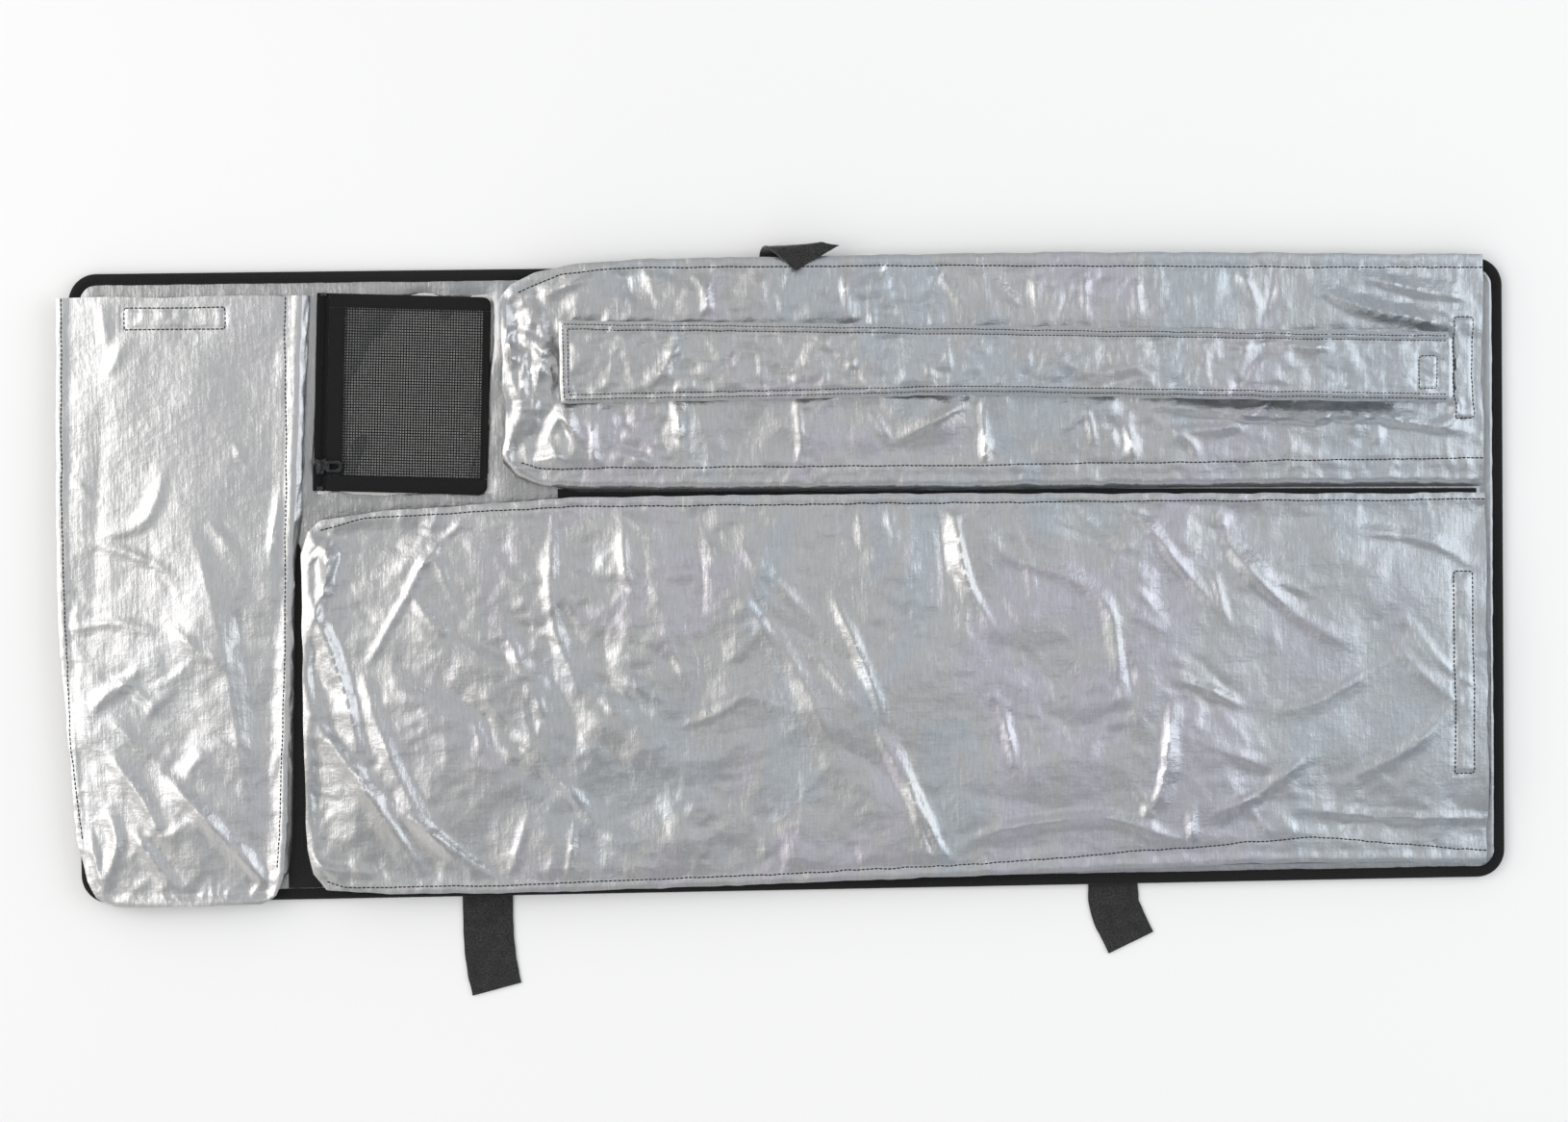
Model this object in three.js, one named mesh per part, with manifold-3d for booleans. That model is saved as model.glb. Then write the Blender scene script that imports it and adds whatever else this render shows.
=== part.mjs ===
import * as THREE from 'three';
import { mergeVertices } from 'three/addons/utils/BufferGeometryUtils.js';
import Module from 'manifold-3d';

const wasm = await Module();
wasm.setup();

// ---------------------------------------------------------------------------------------------
// Driving dimensions, in millimetres. X runs along the panel, Y across it, Z up from the floor.
// ---------------------------------------------------------------------------------------------

const GAP = 0.3;
const SHEET = 1.0;

const PANEL = { length: 1190, width: 520, corner: 23, arcSteps: 6 };
const COVER = 0.8;
const LINING_TOP = 7.6;
const RIM_START = 13;
const RIM_END = 1.2;
const RIM_COVER_LOW = 3.2;
const RIM_LINING_TOP = 6.0;
const BINDING = { reach: 9.4, tape: 0.9, low: 2.0, high: 7.2, inner: 7.8 };

// Each front sheet is stated by its two long edges, as [position, lower edge, higher edge].
// edge is the height of those long edges at the closed end and at the mouth, and crown the rise
// between them. split is the fold that the mouth lip lifts about.
const LOWER = {
  edges: [
    [-407, -216, 28], [-402, -236, 45], [-391, -250, 55], [-339, -254, 62], [-260, -255.5, 66.5],
    [-180, -255, 71], [60, -250.5, 70.2], [185, -248, 68.8], [380, -243, 66], [577, -246, 63.5],
  ],
  closed: -407, mouth: 577, edge: [26, 17], crown: 5, split: 450,
};
const UPPER = {
  edges: [
    [-240, 102, 236], [-230, 93, 247], [-212, 88, 256], [-177, 86, 263], [-130, 86, 266],
    [222, 86, 268], [400, 85.5, 265.5], [576, 85, 262],
  ],
  closed: -240, mouth: 576, edge: [23, 17], crown: 4, split: 430,
};
const NARROW = {
  edges: [[-192, 149, 216], [-186, 148, 216], [141, 151, 208], [544, 139, 197.5]],
  closed: -192, mouth: 544, lift: 8.5, crown: 1.5, split: 430,
};
const POUCH = {
  edges: [
    [-262, -566, -446], [-256, -580, -434], [-240, -588, -427], [-205, -596, -424],
    [-29, -607, -417], [43, -607, -414], [104, -606, -411], [240, -604, -409],
  ],
  closed: -262, mouth: 240, edge: [19, 16], crown: 3, split: 120,
};

// The line where the two long sleeves meet on the lining, as its Y at each end.
const SEAM = { start: [-247, 76], end: [576, 65] };
const GUTTER_TAPE = { start: -244, end: 572, width: 7.5, thickness: 0.9 };

const MESH_POCKET = { width: 143, height: 163, x: -322.5, y: 158, turn: -2.2, corner: 8 };
const MESH_SHEET = { low: 8.0, thickness: 0.7 };
const BORDER = { low: 9.0, thickness: 0.9, left: 13, top: 11.5, right: 6.5, bottom: 13 };
const ZIP = {
  x: -66.2, tapeLow: 7.9, tape: 0.8, leftTape: 4.2, rightTape: 3.2, coil: 1.25, coilHeight: 1.4,
  start: -77.5, end: 79, stop: 2.4,
};
const SLIDER = { y: -61, width: 10, length: 12.8, low: 10.7, plate: 1.5, bar: 1.1, rise: 1.9 };
const PULLER = { length: 18.5, width: 9.6, thickness: 1.1, droop: 10 };

const HOOK = { tape: 1.4 };
const POUCH_STRIP = { x: [-547, -466], y: [213, 231] };
const UPPER_STRIP = { x: [552, 568], y: [126, 210] };
const LOWER_STRIP = { x: [549, 565], y: [-169, -2] };
const NARROW_TAB = { x: [519, 534], y: [151, 178] };

const STRAP = { width: 42, thickness: 1.4, low: 0.3, root: 12, hinge: -262.3, rootGap: 0.9 };
const LEFT_STRAP_X = -260;
const RIGHT_STRAP_X = 264;
const TOP_STRAP = { x: -5, foldX: 8 };

// ---------------------------------------------------------------------------------------------
// Materials
// ---------------------------------------------------------------------------------------------

const SILVER = { color: 0xb9bdc2, roughness: 0.35, metalness: 0.8 };
const BLACK_FABRIC = { color: 0x17181a, roughness: 0.9, metalness: 0 };
const BLACK_TAPE = { color: 0x101113, roughness: 0.8, metalness: 0 };
const LOOP_TAPE = { color: 0x202124, roughness: 1, metalness: 0 };
const GREY_TAPE = { color: 0x9a9ea3, roughness: 0.9, metalness: 0 };
const FOAM = { color: 0xd8d8d4, roughness: 1, metalness: 0 };
const BLACK_MESH = { color: 0x0c0d0e, roughness: 0.5, metalness: 0 };
const BLACK_METAL = { color: 0x16171a, roughness: 0.45, metalness: 0.6 };

const group = new THREE.Group();
group.name = 'gear_organiser_panel';

function addMesh(name, geometry, finish, parent = group) {
  const mesh = new THREE.Mesh(geometry, new THREE.MeshStandardMaterial(finish));
  mesh.name = name;
  parent.add(mesh);
  return mesh;
}

// ---------------------------------------------------------------------------------------------
// Geometry helpers
// ---------------------------------------------------------------------------------------------

function signedVolume(points, faces) {
  const cross = new THREE.Vector3();
  let volume = 0;
  for (const [a, b, c] of faces) {
    volume += points[a].dot(cross.crossVectors(points[b], points[c]));
  }
  return volume / 6;
}

// A closed solid from shared points, turned so that its faces point outwards.
function closedGeometry(points, faces) {
  const inward = signedVolume(points, faces) < 0;
  const index = faces.flatMap(([a, b, c]) => (inward ? [a, c, b] : [a, b, c]));
  const geometry = new THREE.BufferGeometry().setFromPoints(points);
  geometry.setIndex(index);
  geometry.computeVertexNormals();
  return geometry;
}

// The solid between two grids of points with the same rows and columns.
function slab(upper, lower) {
  const rows = upper.length - 1;
  const cols = upper[0].length - 1;
  const points = [...upper.flat(), ...lower.flat()];
  const up = (i, j) => i * (cols + 1) + j;
  const down = (i, j) => (rows + 1) * (cols + 1) + up(i, j);
  const faces = [];
  const quad = (a, b, c, d) => faces.push([a, b, c], [a, c, d]);
  for (let i = 0; i < rows; i += 1) {
    for (let j = 0; j < cols; j += 1) {
      quad(up(i, j), up(i + 1, j), up(i + 1, j + 1), up(i, j + 1));
      quad(down(i, j), down(i, j + 1), down(i + 1, j + 1), down(i + 1, j));
    }
    quad(up(i + 1, 0), up(i, 0), down(i, 0), down(i + 1, 0));
    quad(up(i, cols), up(i + 1, cols), down(i + 1, cols), down(i, cols));
  }
  for (let j = 0; j < cols; j += 1) {
    quad(up(0, j), up(0, j + 1), down(0, j + 1), down(0, j));
    quad(up(rows, j + 1), up(rows, j), down(rows, j), down(rows, j + 1));
  }
  return closedGeometry(points, faces);
}

// Loops of equal length joined one to the next: capped at both ends, or joined last to first.
function loft(loops, ring = false) {
  const count = loops[0].length;
  const points = loops.flat();
  const faces = [];
  const steps = ring ? loops.length : loops.length - 1;
  for (let k = 0; k < steps; k += 1) {
    const here = k * count;
    const next = ((k + 1) % loops.length) * count;
    for (let i = 0; i < count; i += 1) {
      const j = (i + 1) % count;
      faces.push([here + i, here + j, next + j], [here + i, next + j, next + i]);
    }
  }
  if (!ring) {
    const last = (loops.length - 1) * count;
    for (let i = 1; i < count - 1; i += 1) {
      faces.push([0, i + 1, i], [last, last + i, last + i + 1]);
    }
  }
  return closedGeometry(points, faces);
}

// The panel's rounded outline, drawn in by inset, at height z.
function panelLoop(inset, z) {
  const radius = Math.max(PANEL.corner - inset, 2);
  const cx = PANEL.length / 2 - inset - radius;
  const cy = PANEL.width / 2 - inset - radius;
  const corners = [[cx, cy, 0], [-cx, cy, 90], [-cx, -cy, 180], [cx, -cy, 270]];
  return corners.flatMap(([x, y, turn]) => {
    const arc = [];
    for (let i = 0; i <= PANEL.arcSteps; i += 1) {
      const angle = THREE.MathUtils.degToRad(turn + (90 * i) / PANEL.arcSteps);
      const px = x + radius * Math.cos(angle);
      const py = y + radius * Math.sin(angle);
      arc.push(new THREE.Vector3(px, py, z));
    }
    return arc;
  });
}

function profileLoft(profile, ring = false) {
  return loft(profile.map(([inset, z]) => panelLoop(inset, z)), ring);
}

function plate(outline, low, thickness) {
  const shape = new THREE.Shape(outline.map(([x, y]) => new THREE.Vector2(x, y)));
  const geometry = new THREE.ExtrudeGeometry(shape, { depth: thickness, bevelEnabled: false });
  return geometry.translate(0, 0, low);
}

function rectangle(x0, x1, y0, y1) {
  return [[x0, y0], [x1, y0], [x1, y1], [x0, y1]];
}

function box(name, [x0, x1], [y0, y1], [z0, z1], finish, parent = group) {
  return addMesh(name, plate(rectangle(x0, x1, y0, y1), z0, z1 - z0), finish, parent);
}

function toManifold(geometry) {
  const bare = geometry.clone();
  bare.deleteAttribute('normal');
  bare.deleteAttribute('uv');
  const merged = mergeVertices(bare, 1e-4);
  return new wasm.Manifold(new wasm.Mesh({
    numProp: 3,
    vertProperties: new Float32Array(merged.attributes.position.array),
    triVerts: new Uint32Array(merged.index.array),
  }));
}

function fromManifold(solid) {
  const mesh = solid.getMesh();
  const geometry = new THREE.BufferGeometry();
  geometry.setAttribute('position', new THREE.BufferAttribute(mesh.vertProperties, 3));
  geometry.setIndex(new THREE.BufferAttribute(mesh.triVerts, 1));
  geometry.computeVertexNormals();
  return geometry;
}

// ---------------------------------------------------------------------------------------------
// Surfaces of the soft fronts
// ---------------------------------------------------------------------------------------------

function edgesAt(sleeve, a) {
  const table = sleeve.edges;
  const found = table.findIndex((row) => row[0] >= a);
  const high = THREE.MathUtils.clamp(found < 0 ? table.length - 1 : found, 1, table.length - 1);
  const [from, to] = [table[high - 1], table[high]];
  const t = THREE.MathUtils.clamp((a - from[0]) / (to[0] - from[0]), 0, 1);
  return [1, 2].map((k) => THREE.MathUtils.lerp(from[k], to[k], t));
}

// Height of a front's outer face at distance a along it and c across it.
function topOf(sleeve, a, c) {
  const [low, high] = edgesAt(sleeve, a);
  const along = (a - sleeve.closed) / (sleeve.mouth - sleeve.closed);
  const across = THREE.MathUtils.clamp((c - low) / (high - low), 0, 1);
  const rise = sleeve.crown * 4 * across * (1 - across);
  return edgeHeight(sleeve, a, along) + rise;
}

function edgeHeight(sleeve, a, along) {
  if (sleeve === NARROW) {
    const [closed, mouth] = UPPER.edge;
    const under = (a - UPPER.closed) / (UPPER.mouth - UPPER.closed);
    return THREE.MathUtils.lerp(closed, mouth, under) + UPPER.crown + NARROW.lift;
  }
  return THREE.MathUtils.lerp(sleeve.edge[0], sleeve.edge[1], along);
}

// The pouch opens along +Y, and every sleeve along +X.
function placed(sleeve, a, c, z) {
  return sleeve === POUCH ? new THREE.Vector3(c, a, z) : new THREE.Vector3(a, c, z);
}

function rowsBetween(sleeve, from, to) {
  const inner = sleeve.edges.map((row) => row[0]).filter((a) => a > from + 1 && a < to - 1);
  return [from, ...inner, to];
}

// One sheet of a front, from one distance along the sleeve to another.
function front(name, sleeve, from, to, finish) {
  const columns = 12;
  const grid = (drop) => rowsBetween(sleeve, from, to).map((a) => {
    const [low, high] = edgesAt(sleeve, a);
    const row = [];
    for (let j = 0; j <= columns; j += 1) {
      const c = THREE.MathUtils.lerp(low, high, j / columns);
      row.push(placed(sleeve, a, c, topOf(sleeve, a, c) - drop));
    }
    return row;
  });
  return addMesh(name, slab(grid(0), grid(SHEET)), finish);
}

// A side wall under a front. Each station is [along, foot across, top across].
function sideWall(name, sleeve, stations, footHeight, finish) {
  const grid = (offset) => stations.map(([a, foot, top]) => {
    const high = topOf(sleeve, a, top) - SHEET - GAP;
    return [
      placed(sleeve, a, foot + offset, footHeight(a, foot)),
      placed(sleeve, a, top + offset, high),
    ];
  });
  return addMesh(name, slab(grid(SHEET / 2), grid(-SHEET / 2)), finish);
}

// A closed end under a front. Each station is [across, foot along, top along].
function endWall(name, sleeve, stations, footHeight, finish) {
  const grid = (offset) => stations.map(([c, foot, top]) => {
    const high = topOf(sleeve, top, c) - SHEET - GAP;
    return [
      placed(sleeve, foot + offset, c, footHeight(foot, c)),
      placed(sleeve, top + offset, c, high),
    ];
  });
  return addMesh(name, slab(grid(SHEET / 2), grid(-SHEET / 2)), finish);
}

// A strip of tape that follows a surface, between two heights measured from it.
function strip(name, area, surface, [near, far], finish) {
  const columns = 6;
  const grid = (offset) => area.x.map((x) => {
    const row = [];
    for (let j = 0; j <= columns; j += 1) {
      const y = THREE.MathUtils.lerp(area.y[0], area.y[1], j / columns);
      row.push(new THREE.Vector3(x, y, surface(x, y) + offset));
    }
    return row;
  });
  return addMesh(name, slab(grid(near), grid(far)), finish);
}

const onLining = () => LINING_TOP + GAP;
const onUpperFront = (x, y) => topOf(UPPER, x, y) + GAP;

function seamY(x) {
  const t = (x - SEAM.start[0]) / (SEAM.end[0] - SEAM.start[0]);
  return THREE.MathUtils.lerp(SEAM.start[1], SEAM.end[1], t);
}

// ---------------------------------------------------------------------------------------------
// Base panel: cover, foam, lining and the tape bound round the edge
// ---------------------------------------------------------------------------------------------

function buildBase() {
  const coverLow = [[30, 0], [20, 0.6], [12, 2.6], [BINDING.reach, 3.0], [RIM_END, RIM_COVER_LOW]];
  const coverHigh = coverLow.map(([inset, z]) => [inset, z + COVER]).reverse();
  addMesh('back_cover', profileLoft([...coverLow, ...coverHigh]), BLACK_FABRIC);

  const rim = [[RIM_START, LINING_TOP], [BINDING.reach, 6.9], [RIM_END, RIM_LINING_TOP]];
  const liningLow = rim.map(([inset, z]) => [inset, z - COVER]);
  addMesh('lining', profileLoft([...liningLow, ...rim.slice().reverse()]), SILVER);

  const foamLow = COVER + GAP;
  const foamHigh = LINING_TOP - COVER - GAP;
  const foam = [[30, foamLow], [20, 1.75], [14, 3.3], [14, foamHigh - 0.1], [30, foamHigh]];
  addMesh('foam_core', profileLoft(foam), FOAM);

  const { reach, tape, low, high, inner } = BINDING;
  const channel = [
    [reach, inner], [1, high], [0, high - 0.6], [0, low + 0.6], [1, low], [reach, low - 0.1],
    [reach, low - 0.1 + tape], [tape + 0.2, low + tape + 0.1], [tape, high - tape],
    [reach, inner - tape + 0.3],
  ];
  addMesh('edge_binding', profileLoft(channel, true), BLACK_TAPE);

  const { start, end, width, thickness } = GUTTER_TAPE;
  const outline = [
    [start, seamY(start) - width - 0.5], [end, seamY(end) - width - 0.5],
    [end, seamY(end) - 0.5], [start, seamY(start) - 0.5],
  ];
  addMesh('gutter_tape', plate(outline, LINING_TOP + GAP, thickness), BLACK_TAPE);
}

// ---------------------------------------------------------------------------------------------
// Pouch and sleeves
// ---------------------------------------------------------------------------------------------

function buildPouch() {
  front('pouch_front', POUCH, POUCH.closed, POUCH.split - GAP, SILVER);
  front('pouch_lip', POUCH, POUCH.split + GAP, POUCH.mouth, SILVER);
  const left = [[-236, -578, -581], [-205, -580.5, -588], [43, -581, -599], [236, -581, -597]];
  const right = [[-236, -424, -434], [-205, -418, -431], [43, -402, -421], [236, -394.6, -416]];
  sideWall('pouch_wall_left', POUCH, left, onLining, SILVER);
  sideWall('pouch_wall_right', POUCH, right, onLining, SILVER);
  const bottom = [[-572, -240, -246], [-500, -245, -254], [-432, -242, -249]];
  endWall('pouch_wall_bottom', POUCH, bottom, onLining, SILVER);
  const lipSurface = (x, y) => topOf(POUCH, y, x) - SHEET - GAP;
  strip('pouch_hook_strip', POUCH_STRIP, lipSurface, [0, -HOOK.tape], GREY_TAPE);
  strip('pouch_loop_strip', POUCH_STRIP, onLining, [HOOK.tape, 0], GREY_TAPE);
}

function buildLowerSleeve() {
  front('lower_front', LOWER, LOWER.closed, LOWER.split - GAP, SILVER);
  front('lower_lip', LOWER, LOWER.split + GAP, LOWER.mouth, SILVER);
  const foot = (x) => seamY(x) - GUTTER_TAPE.width - 2;
  const high = [
    [-386, 45, 46], [-339, 51, 54], [-260, 57, 59], [-180, 60, 63], [60, foot(60), 63],
    [380, foot(380), 59], [574, foot(574), 56.5],
  ];
  const low = [
    [-386, -241, -243], [-339, -245, -247], [-180, -246.5, -248], [60, -246, -244],
    [380, -245, -237], [574, -246, -239],
  ];
  sideWall('lower_wall_high', LOWER, high, onLining, SILVER);
  sideWall('lower_wall_low', LOWER, low, onLining, SILVER);
  const end = [[-240, -394, -391], [-216, -399, -400], [28, -399, -400], [44, -394, -391]];
  endWall('lower_wall_end', LOWER, end, onLining, SILVER);
  const lipSurface = (x, y) => topOf(LOWER, x, y) - SHEET - GAP;
  strip('lower_hook_strip', LOWER_STRIP, lipSurface, [0, -HOOK.tape], GREY_TAPE);
  strip('lower_loop_strip', LOWER_STRIP, onLining, [HOOK.tape, 0], GREY_TAPE);
}

function buildUpperSleeve() {
  front('upper_front', UPPER, UPPER.closed, UPPER.split - GAP, SILVER);
  front('upper_lip', UPPER, UPPER.split + GAP, UPPER.mouth, SILVER);
  const foot = (x) => seamY(x) + 0.8;
  const high = [
    [-212, 242, 246], [-177, 246, 254], [-130, 246.5, 258], [222, 246.5, 260],
    [400, 246.5, 258], [573, 246.5, 255],
  ];
  const low = [
    [-212, foot(-212) + 6, 96], [-177, foot(-177), 94], [141, foot(141), 94], [573, foot(573), 93],
  ];
  sideWall('upper_wall_high', UPPER, high, onLining, SILVER);
  sideWall('upper_wall_low', UPPER, low, onLining, SILVER);
  const end = [[94, -226, -221], [104, -235, -231], [234, -235, -231], [243, -226, -222]];
  endWall('upper_wall_end', UPPER, end, onLining, SILVER);
  const lipSurface = (x, y) => topOf(UPPER, x, y) - SHEET - GAP;
  strip('upper_hook_strip', UPPER_STRIP, lipSurface, [0, -HOOK.tape], GREY_TAPE);
  strip('upper_loop_strip', UPPER_STRIP, onLining, [HOOK.tape, 0], GREY_TAPE);
}

// The narrow sleeve stands on the upper sleeve's front, so its mouth end rides on that lip.
function buildNarrowSleeve() {
  front('narrow_front', NARROW, NARROW.closed, NARROW.split - GAP, SILVER);
  front('narrow_lip', NARROW, NARROW.split + GAP, NARROW.mouth, SILVER);
  const line = (a, side) => {
    const [low, high] = edgesAt(NARROW, a);
    return side > 0 ? high - 5 : low + 5;
  };
  for (const [label, side] of [['high', 1], ['low', -1]]) {
    const spans = [
      [`narrow_wall_${label}`, [-181, -40, 141, 290, NARROW.split - GAP]],
      [`narrow_wall_${label}_mouth`, [NARROW.split + GAP, 486, NARROW.mouth - 3]],
    ];
    for (const [name, positions] of spans) {
      const stations = positions.map((a) => [a, line(a, side) + side, line(a, side)]);
      sideWall(name, NARROW, stations, onUpperFront, SILVER);
    }
  }
  const end = [[156, -186, -185], [181, -186, -185], [208, -186, -185]];
  endWall('narrow_wall_end', NARROW, end, onUpperFront, SILVER);
  const lipSurface = (x, y) => topOf(NARROW, x, y) - SHEET - GAP;
  strip('narrow_hook_tab', NARROW_TAB, lipSurface, [0, -HOOK.tape], GREY_TAPE);
  strip('narrow_loop_tab', NARROW_TAB, onUpperFront, [HOOK.tape, 0], GREY_TAPE);
}

// ---------------------------------------------------------------------------------------------
// Mesh pocket with its zip
// ---------------------------------------------------------------------------------------------

// A rectangle whose right-hand corners are rounded by the radii given, low one first.
function roundedRight(x0, x1, y0, y1, [lowRadius, highRadius]) {
  const outline = [[x0, y0]];
  for (const [radius, cy, turn] of [[lowRadius, y0 + lowRadius, -90], [highRadius, y1 - highRadius, 0]]) {
    const steps = radius > 0 ? 4 : 0;
    for (let i = 0; i <= steps; i += 1) {
      const angle = THREE.MathUtils.degToRad(turn + 22.5 * i);
      const cx = x1 - radius;
      outline.push([cx + radius * Math.cos(angle), cy + radius * Math.sin(angle)]);
    }
  }
  outline.push([x0, y1]);
  return outline;
}

function buildMeshPocket() {
  const pocket = new THREE.Group();
  pocket.name = 'mesh_pocket';
  pocket.position.set(MESH_POCKET.x, MESH_POCKET.y, 0);
  pocket.rotation.z = THREE.MathUtils.degToRad(MESH_POCKET.turn);
  group.add(pocket);

  const right = MESH_POCKET.width / 2;
  const top = MESH_POCKET.height / 2;
  const left = ZIP.x + ZIP.coil + GAP / 2 + ZIP.rightTape + GAP;
  const { low, thickness } = BORDER;
  const band = [low, low + thickness];

  const { corner } = MESH_POCKET;
  const sheet = roundedRight(left + 2, right - 1, -top + 1, top - 1, [corner, corner]);
  addMesh('mesh_sheet', plate(sheet, MESH_SHEET.low, MESH_SHEET.thickness), BLACK_MESH, pocket);
  const inner = [-top + BORDER.bottom, top - BORDER.top];
  const upper = roundedRight(left, right, inner[1] + GAP, top, [0, corner]);
  const lower = roundedRight(left, right, -top, inner[0] - GAP, [corner, 0]);
  addMesh('mesh_border_top', plate(upper, low, thickness), BLACK_TAPE, pocket);
  addMesh('mesh_border_bottom', plate(lower, low, thickness), BLACK_TAPE, pocket);
  box('mesh_border_right', [right - BORDER.right, right], inner, band, BLACK_TAPE,
    pocket);
  box('mesh_border_zip', [left, left + BORDER.left], inner, band, BLACK_TAPE,
    pocket);

  buildZip(pocket, top);
}

function buildZip(pocket, top) {
  const { x, coil, tapeLow, tape, leftTape, rightTape, coilHeight } = ZIP;
  const inner = GAP / 2;
  const span = [ZIP.start, ZIP.end];
  const full = [-top, top];
  const flat = [tapeLow, tapeLow + tape];
  box('zip_tape_left', [x - inner - coil - leftTape, x - inner], full, flat, BLACK_TAPE, pocket);
  box('zip_tape_right', [x + inner, x + inner + coil + rightTape], full, flat, BLACK_TAPE, pocket);
  const coilBand = [tapeLow + tape + GAP, tapeLow + tape + GAP + coilHeight];
  box('zip_coil_left', [x - inner - coil, x - inner], span, coilBand, BLACK_TAPE, pocket);
  box('zip_coil_right', [x + inner, x + inner + coil], span, coilBand, BLACK_TAPE, pocket);
  const stops = [['zip_stop_bottom', -top + 1, ZIP.start - GAP], ['zip_stop_top', ZIP.end + GAP, top]];
  for (const [name, y0, y1] of stops) {
    box(name, [x - ZIP.stop, x + ZIP.stop], [y0, y1], coilBand, BLACK_METAL, pocket);
  }
  buildSlider(pocket);
}

function buildSlider(pocket) {
  const slider = new THREE.Group();
  slider.name = 'zip_slider_set';
  slider.position.set(ZIP.x, SLIDER.y, SLIDER.low);
  pocket.add(slider);

  const { width, length, plate: thick, bar, rise } = SLIDER;
  const half = length / 2;
  const body = plate([
    [-width * 0.28, -half], [width * 0.28, -half], [width * 0.36, -half * 0.1],
    [width / 2, half * 0.35], [width * 0.42, half], [width * 0.1, half * 0.78],
    [-width * 0.1, half * 0.78], [-width * 0.42, half], [-width / 2, half * 0.35],
    [-width * 0.36, -half * 0.1],
  ], 0, thick);
  // The bail is an arch along the zip: two legs and the bar that the puller turns on.
  const reach = half * 0.7;
  const arch = new THREE.Shape([
    [-reach, 0], [-reach + 1.2, 0], [-reach + 1.2, rise], [reach - 1.2, rise], [reach - 1.2, 0],
    [reach, 0], [reach, rise + bar * 0.6], [reach - 0.6, rise + bar], [-reach + 0.6, rise + bar],
    [-reach, rise + bar * 0.6],
  ].map(([y, z]) => new THREE.Vector2(y, z)));
  const bail = new THREE.ExtrudeGeometry(arch, { depth: bar, bevelEnabled: false });
  bail.translate(0, 0, -bar / 2);
  bail.rotateX(Math.PI / 2);
  bail.rotateZ(Math.PI / 2);
  bail.translate(0, 0, thick - 0.2);
  const whole = toManifold(body).add(toManifold(bail));
  addMesh('zip_slider', fromManifold(whole), BLACK_METAL, slider);

  const puller = new THREE.Group();
  puller.name = 'zip_puller_set';
  puller.position.set(0, 0, thick - 0.2 + rise + bar / 2);
  puller.rotation.y = THREE.MathUtils.degToRad(PULLER.droop);
  slider.add(puller);
  addMesh('zip_puller', pullerGeometry(), BLACK_METAL, puller);
}

// The tab lies to the right of the bail: a barrel round the bar, a neck and a D-shaped finger hole.
function pullerGeometry() {
  const neck = 2.7;
  const barrel = 1.75;
  const { length, width, thickness } = PULLER;
  const shape = new THREE.Shape([
    [barrel - 0.6, -neck], [3.2, -neck], [6.5, -width / 2], [length - 3, -width / 2],
    [length - 0.8, -width / 2 + 1.6], [length, 0], [length - 0.8, width / 2 - 1.6],
    [length - 3, width / 2], [6.5, width / 2], [3.2, neck], [barrel - 0.6, neck],
  ].map(([x, y]) => new THREE.Vector2(x, y)));
  const finger = [
    [7.7, -2.5], [7.7, 2.4], [length - 5.1, 2.3], [length - 2.9, 1.1], [length - 2.8, -1.2],
    [length - 5.2, -2.4],
  ];
  shape.holes.push(new THREE.Path(finger.map(([x, y]) => new THREE.Vector2(x, y))));
  const tab = new THREE.ExtrudeGeometry(shape, { depth: thickness, bevelEnabled: false });
  tab.translate(0, 0, -thickness / 2);
  const round = (radius, long) => toManifold(new THREE.CylinderGeometry(radius, radius, long, 20));
  const whole = toManifold(tab).add(round(barrel, neck * 2)).subtract(round(1.1, neck * 3));
  return fromManifold(whole);
}

// ---------------------------------------------------------------------------------------------
// Straps of loop tape
// ---------------------------------------------------------------------------------------------

// A ribbon through stations of [centre, direction across the ribbon, face direction].
function ribbon(name, stations, finish) {
  const half = STRAP.width / 2;
  const grid = (side) => stations.map(([centre, across, facing]) => {
    const offset = facing.clone().multiplyScalar((side * STRAP.thickness) / 2);
    return [-half, half].map((w) => centre.clone().addScaledVector(across, w).add(offset));
  });
  return addMesh(name, slab(grid(1), grid(-1)), finish);
}

// A strap that lies on the floor: each step is [distance on, degrees turned in plan].
function flatStrap(name, centreX, steps) {
  const z = STRAP.low + STRAP.thickness / 2;
  const up = new THREE.Vector3(0, 0, 1);
  const root = [STRAP.hinge + STRAP.root, STRAP.hinge + STRAP.rootGap];
  const side = [centreX - STRAP.width / 2, centreX + STRAP.width / 2];
  const band = [STRAP.low, STRAP.low + STRAP.thickness];
  box(`${name}_root`, side, [root[1], root[0]], band, LOOP_TAPE);
  let heading = 0;
  const centre = new THREE.Vector3(centreX, STRAP.hinge - GAP, z);
  const stations = [[centre.clone(), new THREE.Vector3(1, 0, 0), up]];
  for (const [distance, turn] of steps) {
    const middle = THREE.MathUtils.degToRad(heading + turn / 2);
    heading += turn;
    centre.x += distance * Math.sin(middle);
    centre.y -= distance * Math.cos(middle);
    const angle = THREE.MathUtils.degToRad(heading);
    stations.push([centre.clone(), new THREE.Vector3(Math.cos(angle), Math.sin(angle), 0), up]);
  }
  ribbon(name, stations, LOOP_TAPE);
}

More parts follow.
